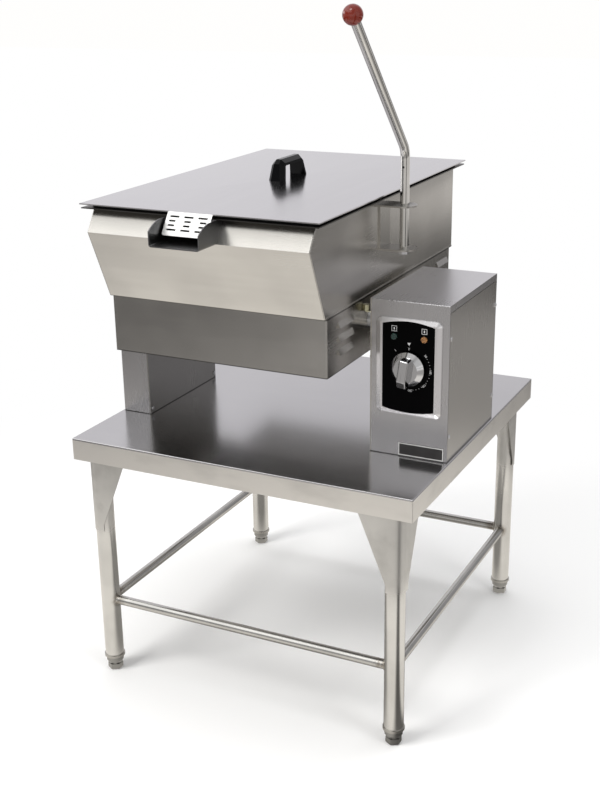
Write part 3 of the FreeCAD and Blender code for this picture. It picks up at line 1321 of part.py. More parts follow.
def crowned_plate(top, thickness):
    """Lid plate whose four facets rise to the middle."""
    corners = [(LID_LEFT, LID_FRONT), (LID_RIGHT, LID_FRONT), (LID_RIGHT, LID_BACK), (LID_LEFT, LID_BACK)]
    upper = [V(x, y, top) for x, y in corners]
    lower = [V(x, y, top - thickness) for x, y in corners]
    peak_up = V(PAN_MID, LID_MID_Y, top + LID_CROWN)
    peak_low = V(PAN_MID, LID_MID_Y, top - thickness + LID_CROWN)
    faces = []
    for k in range(len(corners)):
        n = (k + 1) % len(corners)
        faces.append(face_of([upper[k], upper[n], peak_up]))
        faces.append(face_of([lower[n], lower[k], peak_low]))
        faces.append(face_of([lower[k], lower[n], upper[n], upper[k]]))
    solid = Part.Solid(Part.Shell(faces))
    return solid if solid.Volume > 0 else solid.reversed()


def crown_rise(y):
    """Rise of the lid over its edge, on the middle line at a given depth."""
    return LID_CROWN * (1 - abs(y - LID_MID_Y) / (HALF * (LID_BACK - LID_FRONT)))


def lid_sheet():
    """Cross-broken lid plate with the welded skirt that drops into the well."""
    plate = crowned_plate(LID_TOP, LID_T)
    top_front = liner_outline(LINER_BOTTOM, RIM_TOP, WALL_GAP)[3][0]
    x0 = LINER_LEFT + SKIRT_GAP
    x1 = LINER_RIGHT - SKIRT_GAP
    y0 = top_front + SKIRT_GAP
    y1 = LINER_BACK - SKIRT_GAP
    low = LID_UNDER - SKIRT_DROP
    outer = rounded_block(x0, x1, y0, y1, low, LID_TOP - HALF, SKIRT_CORNER_R, AXIS_Z)
    inner = rounded_block(x0 + SKIRT_T, x1 - SKIRT_T, y0 + SKIRT_T, y1 - SKIRT_T, low, LID_TOP,
                          SKIRT_CORNER_R - SKIRT_T, AXIS_Z)
    body = joined([plate, outer.cut(inner)])
    for place in handle_screw_places():
        low = V(place.x, place.y, LID_UNDER)
        body = body.cut(rod(low, AXIS_Z, HALF * HANDLE_SCREW_D, LID_T + LID_CROWN))
    return body


def lid_seal():
    """Flat seal ring under the edge of the lid, just above the rim flange."""
    x0 = LID_LEFT + SEAL_IN
    x1 = LID_RIGHT - SEAL_IN
    y0 = LID_FRONT + SEAL_IN
    y1 = LID_BACK - SEAL_IN
    low = RIM_TOP + MOVE_GAP
    outer = rounded_block(x0, x1, y0, y1, low, LID_TOP - HALF, SEAL_CORNER_R, AXIS_Z)
    inner = block(x0 + SEAL_W, x1 - SEAL_W, y0 + SEAL_W, y1 - SEAL_W, low, LID_TOP)
    return outer.cut(inner).cut(crowned_plate(LID_TOP, LID_T))


def lid_strainer():
    """Slotted tongue on the front edge of the lid that hangs in the spout."""
    slope_len = math.hypot(TONGUE_FORWARD, TONGUE_DOWN)
    ahead = TONGUE_FORWARD / slope_len
    down = TONGUE_DOWN / slope_len
    bend_y = LID_FRONT - TONGUE_LEAD
    tip_y = bend_y - TONGUE_FORWARD
    tip_z = LID_TOP - TONGUE_DOWN
    half_angle = HALF * math.atan2(TONGUE_DOWN, TONGUE_FORWARD)
    under_y = bend_y + LID_T * math.tan(half_angle)
    outline = [(LID_FRONT, LID_UNDER), (LID_FRONT, LID_TOP), (bend_y, LID_TOP), (tip_y, tip_z)]
    outline += [(tip_y + LID_T * down, tip_z - LID_T * ahead), (under_y, LID_UNDER)]
    half = HALF * TONGUE_W
    body = prism_x(outline, SPOUT_X - half, SPOUT_X + half)
    body = round_edges(body, TONGUE_CORNER_R, lambda e: is_tip_corner(e, tip_z))
    start = V(0, bend_y, LID_TOP)
    direction = V(0, -ahead, -down)
    normal = V(0, -down, ahead)
    for row in range(SLOT_ROWS):
        edge_row = row in (0, SLOT_ROWS - 1)
        length = SLOT_LONG if edge_row else SLOT_SHORT
        pitch = SLOT_OUTER_PITCH if edge_row else SLOT_INNER_PITCH
        along_tongue = SLOT_ROW_FIRST + row * SLOT_ROW_PITCH
        for column in (-1, 0, 1):
            centre = start + direction * along_tongue + V(SPOUT_X + column * pitch, 0, 0)
            corner = centre - V(HALF * length, 0, 0) - direction * (HALF * SLOT_H) + normal * LID_T
            across = V(length, 0, 0)
            drop = direction * SLOT_H
            slot = face_of([corner, corner + across, corner + across + drop, corner + drop])
            body = body.cut(slot.extrude(normal * (-SLOT_CUT * LID_T)))
    return body


def is_tip_corner(edge, tip_z):
    """True for the two short edges through the sheet at the tip of the tongue."""
    if along(edge, AXIS_X):
        return False
    return edge.CenterOfMass.z < tip_z + LID_T and edge.Length < LID_T + HALF


def handle_screw_places():
    """Screw axes under the two feet of the lid handle."""
    lean = HALF * (HANDLE_L - HANDLE_TOP_L) * HALF * HANDLE_SCREW_L / HANDLE_H
    offset = HALF * (HANDLE_L - HANDLE_LEG_T) - lean
    return [V(SPOUT_X, HANDLE_Y + sy * offset, LID_TOP) for sy in (-1, 1)]


def handle_block(high):
    """Solid of the handle with bevelled outer edges, narrower at the top."""
    low = LID_TOP
    side = [(HANDLE_Y - HALF * HANDLE_L, low), (HANDLE_Y + HALF * HANDLE_L, low)]
    side += [(HANDLE_Y + HALF * HANDLE_TOP_L, high), (HANDLE_Y - HALF * HANDLE_TOP_L, high)]
    body = prism_x(side, SPOUT_X - HANDLE_FOOT_W, SPOUT_X + HANDLE_FOOT_W)
    front = [(SPOUT_X - HALF * HANDLE_FOOT_W, low), (SPOUT_X + HALF * HANDLE_FOOT_W, low)]
    front += [(SPOUT_X + HALF * HANDLE_TOP_W, high), (SPOUT_X - HALF * HANDLE_TOP_W, high)]
    body = body.common(prism_y(front, HANDLE_Y - HANDLE_L, HANDLE_Y + HANDLE_L))
    shoulders = [e for e in body.Edges if along(e, AXIS_X) and e.CenterOfMass.z > high - HALF]
    body = body.makeChamfer(HANDLE_SHOULDER, shoulders)
    long_edges = [e for e in body.Edges if not along(e, AXIS_X) and e.BoundBox.ZMax > low + HALF]
    return body.makeChamfer(HANDLE_FACET, long_edges)


def lid_handle():
    """Bridge handle that runs from front to back, with facets along its edges."""
    low = LID_TOP
    high = LID_TOP + LID_CROWN + HANDLE_H
    body = handle_block(high)
    half_low = HALF * HANDLE_L - HANDLE_LEG_T
    half_high = HALF * HANDLE_TOP_L - HANDLE_LEG_T
    gap = [(HANDLE_Y - half_low, low), (HANDLE_Y + half_low, low)]
    gap += [(HANDLE_Y + half_high, high - HANDLE_BAR_T), (HANDLE_Y - half_high, high - HANDLE_BAR_T)]
    opening = prism_x(gap, SPOUT_X - HANDLE_FOOT_W, SPOUT_X + HANDLE_FOOT_W)
    upper_corners = lambda e: along(e, AXIS_X) and e.CenterOfMass.z > low + HANDLE_BAR_T
    opening = round_edges(opening, HANDLE_EDGE_R, upper_corners)
    body = body.cut(opening).cut(crowned_plate(LID_TOP, HANDLE_H))
    for place in handle_screw_places():
        seat = V(place.x, place.y, LID_TOP + crown_rise(place.y))
        body = body.cut(rod(seat, AXIS_Z, HALF * HANDLE_SCREW_D, HANDLE_SCREW_L))
    return body


def lid_handle_screws():
    """Screws from under the lid into the feet of the handle."""
    screws = []
    for place in handle_screw_places():
        seat = V(place.x, place.y, LID_UNDER + crown_rise(place.y))
        shank = rod(seat, AXIS_Z, HALF * HANDLE_SCREW_D, LID_T + HANDLE_SCREW_L)
        head = rod(seat - AXIS_Z * HANDLE_SCREW_HEAD_H, AXIS_Z, HALF * HANDLE_SCREW_HEAD_D,
                   HANDLE_SCREW_HEAD_H + HALF * LID_T)
        screws.append(joined([shank, head.cut(crowned_plate(LID_TOP, LID_T))]))
    return Part.makeCompound(screws)


def save(name, shape):
    """Writes one piece, moved so that the origin is under the middle of the machine."""
    placed = shape.copy()
    placed.translate(V(0, ORIGIN_MOVE, 0))
    if not placed.isValid():
        raise ValueError("piece is not valid: " + name)
    placed.exportStep("parts/" + name + ".step")


def corner_name(sx, sy):
    """Name of a corner of the stand."""
    depth = "front" if sy < 0 else "back"
    width = "left" if sx < 0 else "right"
    return depth + "_" + width


def save_stand():
    """The fixed pieces and the feet."""
    save("table_top", table_top())
    sockets = []
    for sx in (-1, 1):
        for sy in (-1, 1):
            corner = corner_name(sx, sy)
            save("leg_" + corner, leg(sx, sy))
            save("gusset_" + corner, gusset(sx, sy))
            save("foot_" + corner, foot(sx, sy))
            sockets.append(foot_socket(sx, sy))
    save("foot_sockets", Part.makeCompound(sockets))
    save("rail_front", cross_rail(-1))
    save("rail_back", cross_rail(1))
    save("rail_left", side_rail(-1))
    save("rail_right", side_rail(1))
    save("pedestal_shell", pedestal_shell())
    save("pedestal_inner_panel", pedestal_inner_panel())
    save("bearing_left", bearing(PED_RIGHT, -1))
    save("bearing_right", bearing(BOX_LEFT, 1))
    save("bush_left", bush(PED_RIGHT, -1))
    save("bush_right", bush(BOX_LEFT, 1))
    save("stand_bolts", stand_bolts())
    save("rest_bar", rest_bar())
    save("rest_buffers", rest_buffers())


def save_control_box():
    """The control box with its fittings, and the knob."""
    save("box_wrapper", box_wrapper())
    save("box_left_panel", box_left_panel())
    save("box_right_cover", box_right_cover())
    save("panel_screws", panel_screws())
    save("fascia_plate", fascia_plate())
    save("lamp_green", lamp(-1))
    save("lamp_amber", lamp(1))
    save("badge_plate", badge_plate())
    save("thermostat_body", thermostat_body())
    save("thermostat_spindle", thermostat_spindle())
    save("thermostat_knob", thermostat_knob())
    save("terminal_block", terminal_block())
    save("cable_gland", cable_gland())


def save_pan():
    """The tilting pan with its heater housing and lever."""
    save("pan_liner", pan_liner())
    save("cooking_plate", cooking_plate())
    save("pan_casing", pan_casing())
    save("pan_spout", pan_spout())
    save("base_box", base_box())
    save("base_cover", base_cover())
    save("insulation_pad", insulation_pad())
    save("heating_element", heating_element())
    save("trunnion_left", trunnion(BASE_LEFT, -1))
    save("trunnion_right", trunnion(BASE_RIGHT, 1))
    save("trunnion_lock_bolts", trunnion_lock_bolts())
    save("lever_bracket", lever_bracket())
    save("lever_tube", lever_tube())
    save("lever_ball", lever_ball())
    save("lever_bolt", lever_bolt())


def save_lid():
    """The lift-off lid."""
    save("lid_sheet", lid_sheet())
    save("lid_seal", lid_seal())
    save("lid_strainer", lid_strainer())
    save("lid_handle", lid_handle())
    save("lid_handle_screws", lid_handle_screws())


os.makedirs("parts", exist_ok=True)
save_stand()
save_control_box()
save_pan()
save_lid()
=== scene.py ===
import json
import math

import bmesh
import bpy
from mathutils import Matrix, Vector


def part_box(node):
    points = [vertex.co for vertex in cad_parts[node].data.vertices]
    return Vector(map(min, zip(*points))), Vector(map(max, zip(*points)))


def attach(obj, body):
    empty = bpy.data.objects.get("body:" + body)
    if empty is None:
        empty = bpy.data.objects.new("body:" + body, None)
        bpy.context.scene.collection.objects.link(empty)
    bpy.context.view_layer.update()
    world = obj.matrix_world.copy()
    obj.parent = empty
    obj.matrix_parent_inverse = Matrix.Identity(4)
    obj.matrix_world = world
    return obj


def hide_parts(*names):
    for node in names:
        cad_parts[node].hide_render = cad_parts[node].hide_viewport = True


# An electric tilting skillet on an open stand, in metres: X to the right, Y to the back, Z up.
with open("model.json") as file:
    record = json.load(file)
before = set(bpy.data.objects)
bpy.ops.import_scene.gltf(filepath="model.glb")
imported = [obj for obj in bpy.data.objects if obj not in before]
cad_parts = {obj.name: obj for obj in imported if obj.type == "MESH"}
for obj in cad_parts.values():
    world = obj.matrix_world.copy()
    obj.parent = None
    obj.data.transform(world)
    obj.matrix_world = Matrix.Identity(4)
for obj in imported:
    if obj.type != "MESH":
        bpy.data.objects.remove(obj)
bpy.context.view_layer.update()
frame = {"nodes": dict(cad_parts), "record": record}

MM = 0.001
STRAIGHT_UP = Vector((0, 0, 1))
SAME_FLAT = 0.99995

# Camera, from the edges of the machine in the photograph
CAMERA_PLACE = Vector((1.0544, -2.1379, 1.3956))
CAMERA_YAW = math.radians(26.56)
CAMERA_PITCH = math.radians(19.59)
CAMERA_ROLL = math.radians(-0.89)
FOCAL_PIXELS = 1239.4
FRAME_HEIGHT = 800
SENSOR = 36.0

# Finishes: straight-on colours of the metals and plastics
STEEL_CREAM = (0.640, 0.622, 0.592)
STEEL_COOL = (0.635, 0.625, 0.640)
STEEL_TABLE = (0.585, 0.578, 0.588)
STEEL_TUBE = (0.690, 0.680, 0.655)
# Rails: the tube steel made darker, a painted shade for their darker look
STEEL_RAIL_SHADED = (0.560, 0.552, 0.530)
STEEL_WHITE = (0.900, 0.900, 0.890)


class Number:
    """A shader value; sums and products of values add Math nodes."""

    def __init__(self, look, socket):
        self.look = look
        self.socket = socket

    def math(self, operation, other, swapped=False):
        pair = (other, self) if swapped else (self, other)
        node = self.look.node("ShaderNodeMath", {"operation": operation}, {0: pair[0], 1: pair[1]})
        return Number(self.look, node.outputs[0])

    def __add__(self, other):
        return self.math("ADD", other)

    def __sub__(self, other):
        return self.math("SUBTRACT", other)

    def __rsub__(self, other):
        return self.math("SUBTRACT", other, True)

    def __mul__(self, other):
        return self.math("MULTIPLY", other)

    def __truediv__(self, other):
        return self.math("DIVIDE", other)

    __radd__ = __add__
    __rmul__ = __mul__

    def step(self, low, high):
        """0 below low, 1 above high, with a soft change between; low may be above high."""
        node = self.look.node("ShaderNodeMapRange", {"interpolation_type": "SMOOTHSTEP"},
                              {"Value": self, "From Min": low, "From Max": high})
        return Number(self.look, node.outputs["Result"])


class Look:
    """A node tree being written: a material's or the world's."""

    def __init__(self, tree):
        self.tree = tree
        tree.nodes.clear()

    def node(self, kind, settings=None, sockets=None):
        """Adds a node: its settings first, then the values or links of its sockets."""
        made = self.tree.nodes.new(kind)
        for name, value in (settings or {}).items():
            if name == "stops":
                self.set_stops(made.color_ramp, value)
            else:
                setattr(made, name, value)
        for name, value in (sockets or {}).items():
            self.fill(made.inputs[name], value)
        return made

    def fill(self, socket, value):
        """Links a value or sets a constant."""
        if isinstance(value, Number):
            value = value.socket
        if isinstance(value, bpy.types.NodeSocket):
            self.tree.links.new(value, socket)
        elif isinstance(value, tuple) and len(value) == 3 and socket.type == "RGBA":
            socket.default_value = (*value, 1.0)
        else:
            socket.default_value = value

    def set_stops(self, ramp, stops):
        while len(ramp.elements) > 1:
            ramp.elements.remove(ramp.elements[-1])
        ramp.elements[0].position = stops[0][0]
        ramp.elements[0].color = (*stops[0][1], 1.0)
        for place, colour in stops[1:]:
            element = ramp.elements.new(place)
            element.color = (*colour, 1.0)

    def place(self):
        """Object coordinates."""
        return self.node("ShaderNodeTexCoord").outputs["Object"]

    def stretched(self, scale):
        """Object coordinates, scaled differently along each axis."""
        node = self.node("ShaderNodeMapping", None, {"Vector": self.place(), "Scale": scale})
        return node.outputs["Vector"]

    def axis(self, letter):
        """One object coordinate in metres."""
        node = self.node("ShaderNodeSeparateXYZ", None, {"Vector": self.place()})
        return Number(self, node.outputs[letter])

    def noise(self, vector, scale, detail=2.0, rough=0.5):
        node = self.node("ShaderNodeTexNoise", None,
                         {"Vector": vector, "Scale": scale, "Detail": detail, "Roughness": rough})
        return Number(self, node.outputs["Fac"])

    def mix(self, factor, first, second):
        """Mixes two colours."""
        node = self.node("ShaderNodeMix", {"data_type": "RGBA"}, {0: factor, 6: first, 7: second})
        return node.outputs[2]

    def bump(self, height):
        """A surface relief given in millimetres."""
        node = self.node("ShaderNodeBump", None, {"Height": height, "Strength": 1.0, "Distance": MM})
        return node.outputs["Normal"]


def finish_material(name, make):
    """A new material with a surface written by the given function."""
    material = bpy.data.materials.new(name)
    material.use_nodes = True
    look = Look(material.node_tree)
    surface = make(look)
    output = look.node("ShaderNodeOutputMaterial")
    look.fill(output.inputs["Surface"], surface.outputs[0])
    return material


def surface(look, colour, roughness, **sockets):
    """The main shader with colour and roughness, and any other socket by name."""
    values = {"Base Color": colour, "Roughness": roughness}
    for name, value in sockets.items():
        values[name.replace("_", " ").title()] = value
    return look.node("ShaderNodeBsdfPrincipled", None, values)


def steel(name, tint, roughness, grain, relief=0.010, waves=0.10, soil=0.10, painted_shade_lines=(), lip=None, shade=None,
          stains=0.0, lit_frame_front=None):
    """Stainless sheet. The grain tuple holds the fineness of the brushing along each axis, per metre.

    The lines of painted shade are (axis, value, reach): dark lines of painted shade, with some grime, where the
    sheet meets its neighbour. Below the height of the lip, the folded edge is brushed more coarsely, is painted
    paler as a painted highlight, and is worn in patches. Just under the height given as shade, where the rim
    overhangs the sheet, it gets a painted shade, and stains are wiped streaks that run level. The pressed frame,
    which stands in front of the given Y, is painted paler as a painted highlight.
    """

    def make(look):
        lines = look.noise(look.stretched(grain), 1.0, 3.0, 0.6)
        broad = look.noise(look.stretched(tuple(0.08 * g for g in grain)), 1.0, 2.0)
        clouds = look.noise(look.place(), 3.2, 4.0, 0.55)
        sway = look.noise(look.place(), 5.5, 1.5)
        dark = tuple(0.80 * c for c in tint)
        tone = clouds * soil + lines * 0.020 + broad * 0.020
        colour = look.mix(tone.step(0.0, 0.06 + soil), dark, tint)
        if stains:
            wiped = look.noise(look.stretched((2.4, 2.4, 18.0)), 1.0, 2.0, 0.5)
            cloudy = look.noise(look.place(), 7.0, 2.0, 0.5)
            worn = (wiped.step(0.40, 0.70) + cloudy.step(0.42, 0.70)) * stains
            colour = look.mix(worn, colour, tuple(0.55 * c for c in tint))
        # Painted highlight: the pressed frame is painted paler than the rest of the sheet
        if lit_frame_front is not None:
            lit_frame = look.axis("Y").step(lit_frame_front - 0.0002, lit_frame_front - 0.0008)
            colour = look.mix(lit_frame, colour, tuple(min(1.0, 1.34 * c) for c in tint))
        # Painted shade just under the rim, where the rim overhangs the sheet
        if shade:
            under = look.axis("Z").step(shade - 0.046, shade + 0.002)
            colour = look.mix(under * 0.62, colour, tuple(0.30 * c for c in tint))
        # Painted shade, with some grime: dark lines where the sheet meets its neighbour
        for axis, value, reach in painted_shade_lines:
            line = (look.axis(axis) - value).math("ABSOLUTE", 0.0).step(reach, 0.35 * reach)
            colour = look.mix(line * (0.72 + clouds * 0.3), colour, (0.035, 0.033, 0.030))
        rough = roughness + (clouds - 0.5) * 0.12 + (lines - 0.5) * 0.03
        # Painted highlight: below the lip height the folded edge is painted paler; the darker patches in it are real
        # wear
        if lip:
            below = look.axis("Z").step(lip - 0.0030, lip - 0.0045)
            worn = look.noise(look.stretched((9.0, 9.0, 22.0)), 1.0, 3.0).step(0.45, 0.75) * 0.30
            pale = look.mix(worn, tuple(1.28 * c for c in STEEL_CREAM), tuple(0.75 * c for c in STEEL_CREAM))
            colour = look.mix(below, colour, pale)
            rough = rough + below * 0.20
        height = lines * relief + broad * (1.6 * relief) + sway * waves
        return surface(look, colour, rough, metallic=1.0, normal=look.bump(height))

    return finish_material(name, make)


def tube_steel(name, tint, roughness, extra=None, seat=None, satin=None):
    """Polished tube with soft streaks along it; above the satin height it is brushed and stained. At the given height
    under the lip it gets a thin band of painted shade, with some grime.
    """

    def make(look):
        streaks = look.noise(look.stretched((60.0, 60.0, 7.0)), 1.0, 3.0)
        clouds = look.noise(look.place(), 9.0, 3.0)
        colour = look.mix(clouds.step(0.35, 0.65), tuple(0.86 * c for c in tint), tint)
        rough = roughness + (streaks - 0.5) * 0.14 + (clouds - 0.5) * 0.08
        height = streaks * 0.04 + clouds * 0.12
        if satin:
            above = look.axis("Z").step(satin - 0.02, satin + 0.03)
            worn = look.noise(look.place(), 24.0, 3.0).step(0.45, 0.75) * above * 0.35
            rough = rough + above * 0.24
            colour = look.mix(worn, colour, tuple(0.62 * c for c in STEEL_CREAM))
        # Painted shade, with some grime: a dark band where the leg meets the underside of the lip
        if seat:
            line = (look.axis("Z") - seat).math("ABSOLUTE", 0.0).step(0.0022, 0.0008)
            colour = look.mix(line * 0.8, colour, (0.035, 0.033, 0.030))
        if extra:
            colour, rough, height = extra(look, colour, rough, height)
        return surface(look, colour, rough, metallic=1.0, normal=look.bump(height))

    return finish_material(name, make)


def weld_tint(places, radius):
    """Darker, rougher metal round welded joints at the given heights and corners."""

    def apply(look, colour, rough, height):
        mask = None
        for place in places:
            offset = look.node("ShaderNodeVectorMath", {"operation": "DISTANCE"}, {0: look.place(), 1: place})
            near = Number(look, offset.outputs["Value"]).step(radius, 0.35 * radius)
            mask = near if mask is None else mask.math("MAXIMUM", near)
        mottled = mask * look.noise(look.place(), 160.0, 2.0).step(0.25, 0.6)
        brown = (0.17, 0.13, 0.09)
        return look.mix(mottled * 0.62, colour, brown), rough + mask * 0.10, height

    return apply


def plastic(name, colour, roughness, grain=0.0, coat=0.0, mottle=0.25, gloss=0.5):
    """Moulded plastic with faint mottling and a fine texture."""

    def make(look):
        clouds = look.noise(look.place(), 40.0, 3.0)
        specks = look.noise(look.place(), 900.0, 2.0)
        tone = look.mix(clouds.step(0.3, 0.7), tuple((1 - mottle) * c for c in colour), colour)
        rough = roughness + (clouds - 0.5) * 0.12
        made = surface(look, tone, rough, coat_weight=coat, normal=look.bump(specks * grain))
        made.inputs["Specular IOR Level"].default_value = gloss
        return made

    return finish_material(name, make)


def lens(name, deep, bright):
    """Signal lamp lens: deep and bright tones mixed by fine facets."""

    def make(look):
        facets = look.noise(look.place(), 700.0, 1.0)
        tone = look.mix(facets.step(0.35, 0.65), deep, bright)
        return surface(look, tone, 0.12 + facets * 0.1, coat_weight=0.6, normal=look.bump(facets * 0.12))

    return finish_material(name, make)


def fibre(name):
    """Ceramic fibre pad."""

    def make(look):
        wool = look.noise(look.stretched((300.0, 300.0, 900.0)), 1.0, 4.0, 0.7)
        tone = look.mix(wool, (0.62, 0.60, 0.55), (0.86, 0.85, 0.81))
        return surface(look, tone, 0.85 + wool * 0.1, normal=look.bump(wool * 0.8))

    return finish_material(name, make)


def printed(name, tone):
    """White print on the control panel, slightly uneven."""

    def make(look):
        wear = look.noise(look.place(), 800.0, 2.0)
        return surface(look, look.mix(wear, tuple(0.85 * c for c in tone), tone), 0.35 + wear * 0.1)

    return finish_material(name, make)


def rail_ends():
    """Where the rails meet the legs: point on the leg, way along the rail, way from the leg's middle."""
    rail_low, rail_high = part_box("rail_front")
    height = (rail_low.z + rail_high.z) / 2
    low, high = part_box("leg_front_left")
    radius = (high.x - low.x) / 2
    ends = []
    for leg in ("leg_front_left", "leg_front_right", "leg_back_left", "leg_back_right"):
        low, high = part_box(leg)
        middle = Vector(((low.x + high.x) / 2, (low.y + high.y) / 2, height))
        inwards_x = Vector((-1, 0, 0)) if middle.x > 0 else Vector((1, 0, 0))
        inwards_y = Vector((0, -1, 0)) if leg.startswith("leg_back") else Vector((0, 1, 0))
        for way in (inwards_x, inwards_y):
            ends.append((middle, way, radius))
    return ends


def joint_places():
    """Middle of each welded joint of a rail."""
    return [tuple(middle + way * radius) for middle, way, radius in rail_ends()]


# Heights and faces where sheets meet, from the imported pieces
table_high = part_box("table_top")[1].z
lip_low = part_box("table_top")[0].z
base_low, base_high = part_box("base_box")
case_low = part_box("pan_casing")[0].z

HORIZONTAL = (7.0, 7.0, 900.0)
ALONG_Y = (900.0, 7.0, 7.0)
UPRIGHT_SIDE = (7.0, 900.0, 7.0)
ALONG_X = (7.0, 900.0, 300.0)
EVEN = (1600.0, 1600.0, 1600.0)
# Where a sheet stands on the table: a line of painted shade
SHADE_ON_TABLE = ("Z", table_high, 0.0022)

# Table steel; its folded lip is painted paler as a painted highlight, with worn patches
table_steel = steel("table_steel", STEEL_TABLE, 0.19, ALONG_X, relief=0.0010, waves=0.16, soil=0.16,
                    lip=table_high)
# The casing: a painted shade under the rim and a painted shade line along its lower edge
casing_steel = steel("casing_steel", (0.700, 0.680, 0.642), 0.26, HORIZONTAL, relief=0.0008, waves=0.16, soil=0.14,
                     painted_shade_lines=[("Z", case_low, 0.0016)], shade=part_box("pan_casing")[1].z, stains=0.22)
# The heater box: lines of painted shade, with some grime, at its top and bottom edges
heater_steel = steel("heater_steel", STEEL_CREAM, 0.26, HORIZONTAL, relief=0.0008, waves=0.24, soil=0.2,
                     painted_shade_lines=[("Z", base_high.z, 0.0040), ("Z", base_low.z, 0.0022)], stains=0.24)
rim_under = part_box("pan_spout")[1].z
# The liner: a line of painted shade under the rim
liner_steel = steel("liner_steel", (0.54, 0.53, 0.51), 0.30, HORIZONTAL, relief=0.003, waves=0.05,
                    painted_shade_lines=[("Z", rim_under + 0.001, 0.0026)])
lid_steel = steel("lid_steel", STEEL_COOL, 0.15, ALONG_Y, relief=0.0008, waves=0.03, soil=0.04)
# The control box steel: a painted highlight on its pressed frame and a painted shade line on the table
box_steel = steel("box_steel", (0.66, 0.65, 0.66), 0.27, ALONG_Y, relief=0.0003, waves=0.06, painted_shade_lines=[SHADE_ON_TABLE],
                  lit_frame_front=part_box("badge_plate")[0].y)
side_steel = steel("side_steel", STEEL_CREAM, 0.26, UPRIGHT_SIDE, relief=0.0004, waves=0.10, soil=0.16,
                   painted_shade_lines=[SHADE_ON_TABLE])
inner_steel = steel("inner_steel", (0.46, 0.45, 0.43), 0.26, UPRIGHT_SIDE, relief=0.0004, waves=0.10, soil=0.16,
                    painted_shade_lines=[SHADE_ON_TABLE])
galvanised = steel("galvanised", (0.50, 0.50, 0.49), 0.48, (40.0, 40.0, 40.0), relief=0.01, waves=0.05)
bracket_steel = steel("bracket_steel", (0.50, 0.485, 0.455), 0.28, EVEN, relief=0.001, waves=0.04, soil=0.3)
foot_steel = steel("foot_steel", (0.36, 0.355, 0.34), 0.26, EVEN, relief=0.001, waves=0.02, soil=0.3)
spout_steel = steel("spout_steel", (0.27, 0.27, 0.275), 0.34, HORIZONTAL, relief=0.008, waves=0.05)
tongue_steel = steel("tongue_steel", STEEL_WHITE, 0.40, ALONG_X, relief=0.003, waves=0.01)
plate_steel = steel("plate_steel", (0.42, 0.41, 0.40), 0.42, ALONG_X, relief=0.012, waves=0.05)
bright_steel = steel("bright_steel", (0.76, 0.76, 0.78), 0.18, EVEN, relief=0.0006, waves=0.01)
# Leg steel: weld tint, a band of painted shade under the lip, and satin wear above the gussets
leg_steel = tube_steel("leg_steel", STEEL_TUBE, 0.18, weld_tint(joint_places(), 0.020), lip_low,
                       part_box("gusset_front_right")[0].z)
# Rail steel: a darker copy of the tube steel, painted shade
rail_steel = tube_steel("rail_steel", STEEL_RAIL_SHADED, 0.17, weld_tint(joint_places(), 0.026))
lever_steel = tube_steel("lever_steel", STEEL_TUBE, 0.13)
zinc = steel("zinc", (0.70, 0.67, 0.46), 0.26, EVEN, relief=0.0008, waves=0.01)
bronze = steel("bronze", (0.55, 0.38, 0.20), 0.35, EVEN, relief=0.002, waves=0.01)
heat_tube = steel("heat_tube", (0.32, 0.30, 0.28), 0.5, EVEN, relief=0.004, waves=0.01)
panel_black = plastic("panel_black", (0.0010, 0.0010, 0.0012), 0.16, 0.0008, 0.0, 0.25, 0.04)
handle_black = plastic("handle_black", (0.0015, 0.0015, 0.0020), 0.12, 0.001, 0.0, 0.25, 0.14)
badge_dark = plastic("badge_dark", (0.040, 0.038, 0.038), 0.35, 0.003, 0.0, 0.25, 0.3)
rubber_black = plastic("rubber_black", (0.025, 0.025, 0.025), 0.6, 0.02, 0.0, 0.25, 0.3)
nylon_black = plastic("nylon_black", (0.03, 0.03, 0.032), 0.45, 0.01)
moulding = plastic("moulding", (0.72, 0.70, 0.64), 0.5, 0.01)
ball_red = plastic("ball_red", (0.150, 0.013, 0.005), 0.12, 0.001, 0.5, 0.15, 0.35)
knob_silver = steel("knob_silver", (0.66, 0.66, 0.67), 0.09, EVEN, relief=0.0006, waves=0.01)
lens_green = lens("lens_green", (0.002, 0.012, 0.010), (0.010, 0.050, 0.040))
lens_amber = lens("lens_amber", (0.10, 0.040, 0.010), (0.44, 0.20, 0.06))
print_white = printed("print_white", (0.66, 0.66, 0.66))
badge_silver = plastic("badge_silver", (0.72, 0.72, 0.71), 0.3, 0.002, 0.0, 0.15, 0.5)
weld_steel = steel("weld_steel", (0.46, 0.43, 0.38), 0.34, EVEN, relief=0.004, waves=0.02, soil=0.4)
wool_white = fibre("wool_white")

MATERIAL_OF = {
    "table_top": table_steel, "pedestal_shell": box_steel, "pedestal_inner_panel": inner_steel,
    "box_wrapper": box_steel, "box_left_panel": side_steel, "box_right_cover": side_steel,
    "fascia_plate": panel_black, "lamp_green": lens_green, "lamp_amber": lens_amber,
    "badge_plate": badge_dark, "thermostat_body": moulding, "terminal_block": moulding,
    "cable_gland": nylon_black, "rest_bar": side_steel, "rest_buffers": rubber_black,
    "bush_left": bronze, "bush_right": bronze, "pan_liner": liner_steel, "cooking_plate": plate_steel,
    "pan_casing": casing_steel, "pan_spout": spout_steel, "base_box": heater_steel,
    "base_cover": galvanised, "insulation_pad": wool_white, "heating_element": heat_tube,
    "trunnion_lock_bolts": zinc, "lever_bracket": bracket_steel, "foot_sockets": bracket_steel, "lever_tube": lever_steel,
    "lever_ball": ball_red, "lid_sheet": lid_steel, "lid_seal": rubber_black,
    "lid_strainer": tongue_steel, "lid_handle": handle_black, "thermostat_knob": knob_silver,
}


# Sheets whose pressed faces meet at small angles
PLAIN_BENDS = ("base_box", "box_wrapper", "lid_handle", "thermostat_knob")


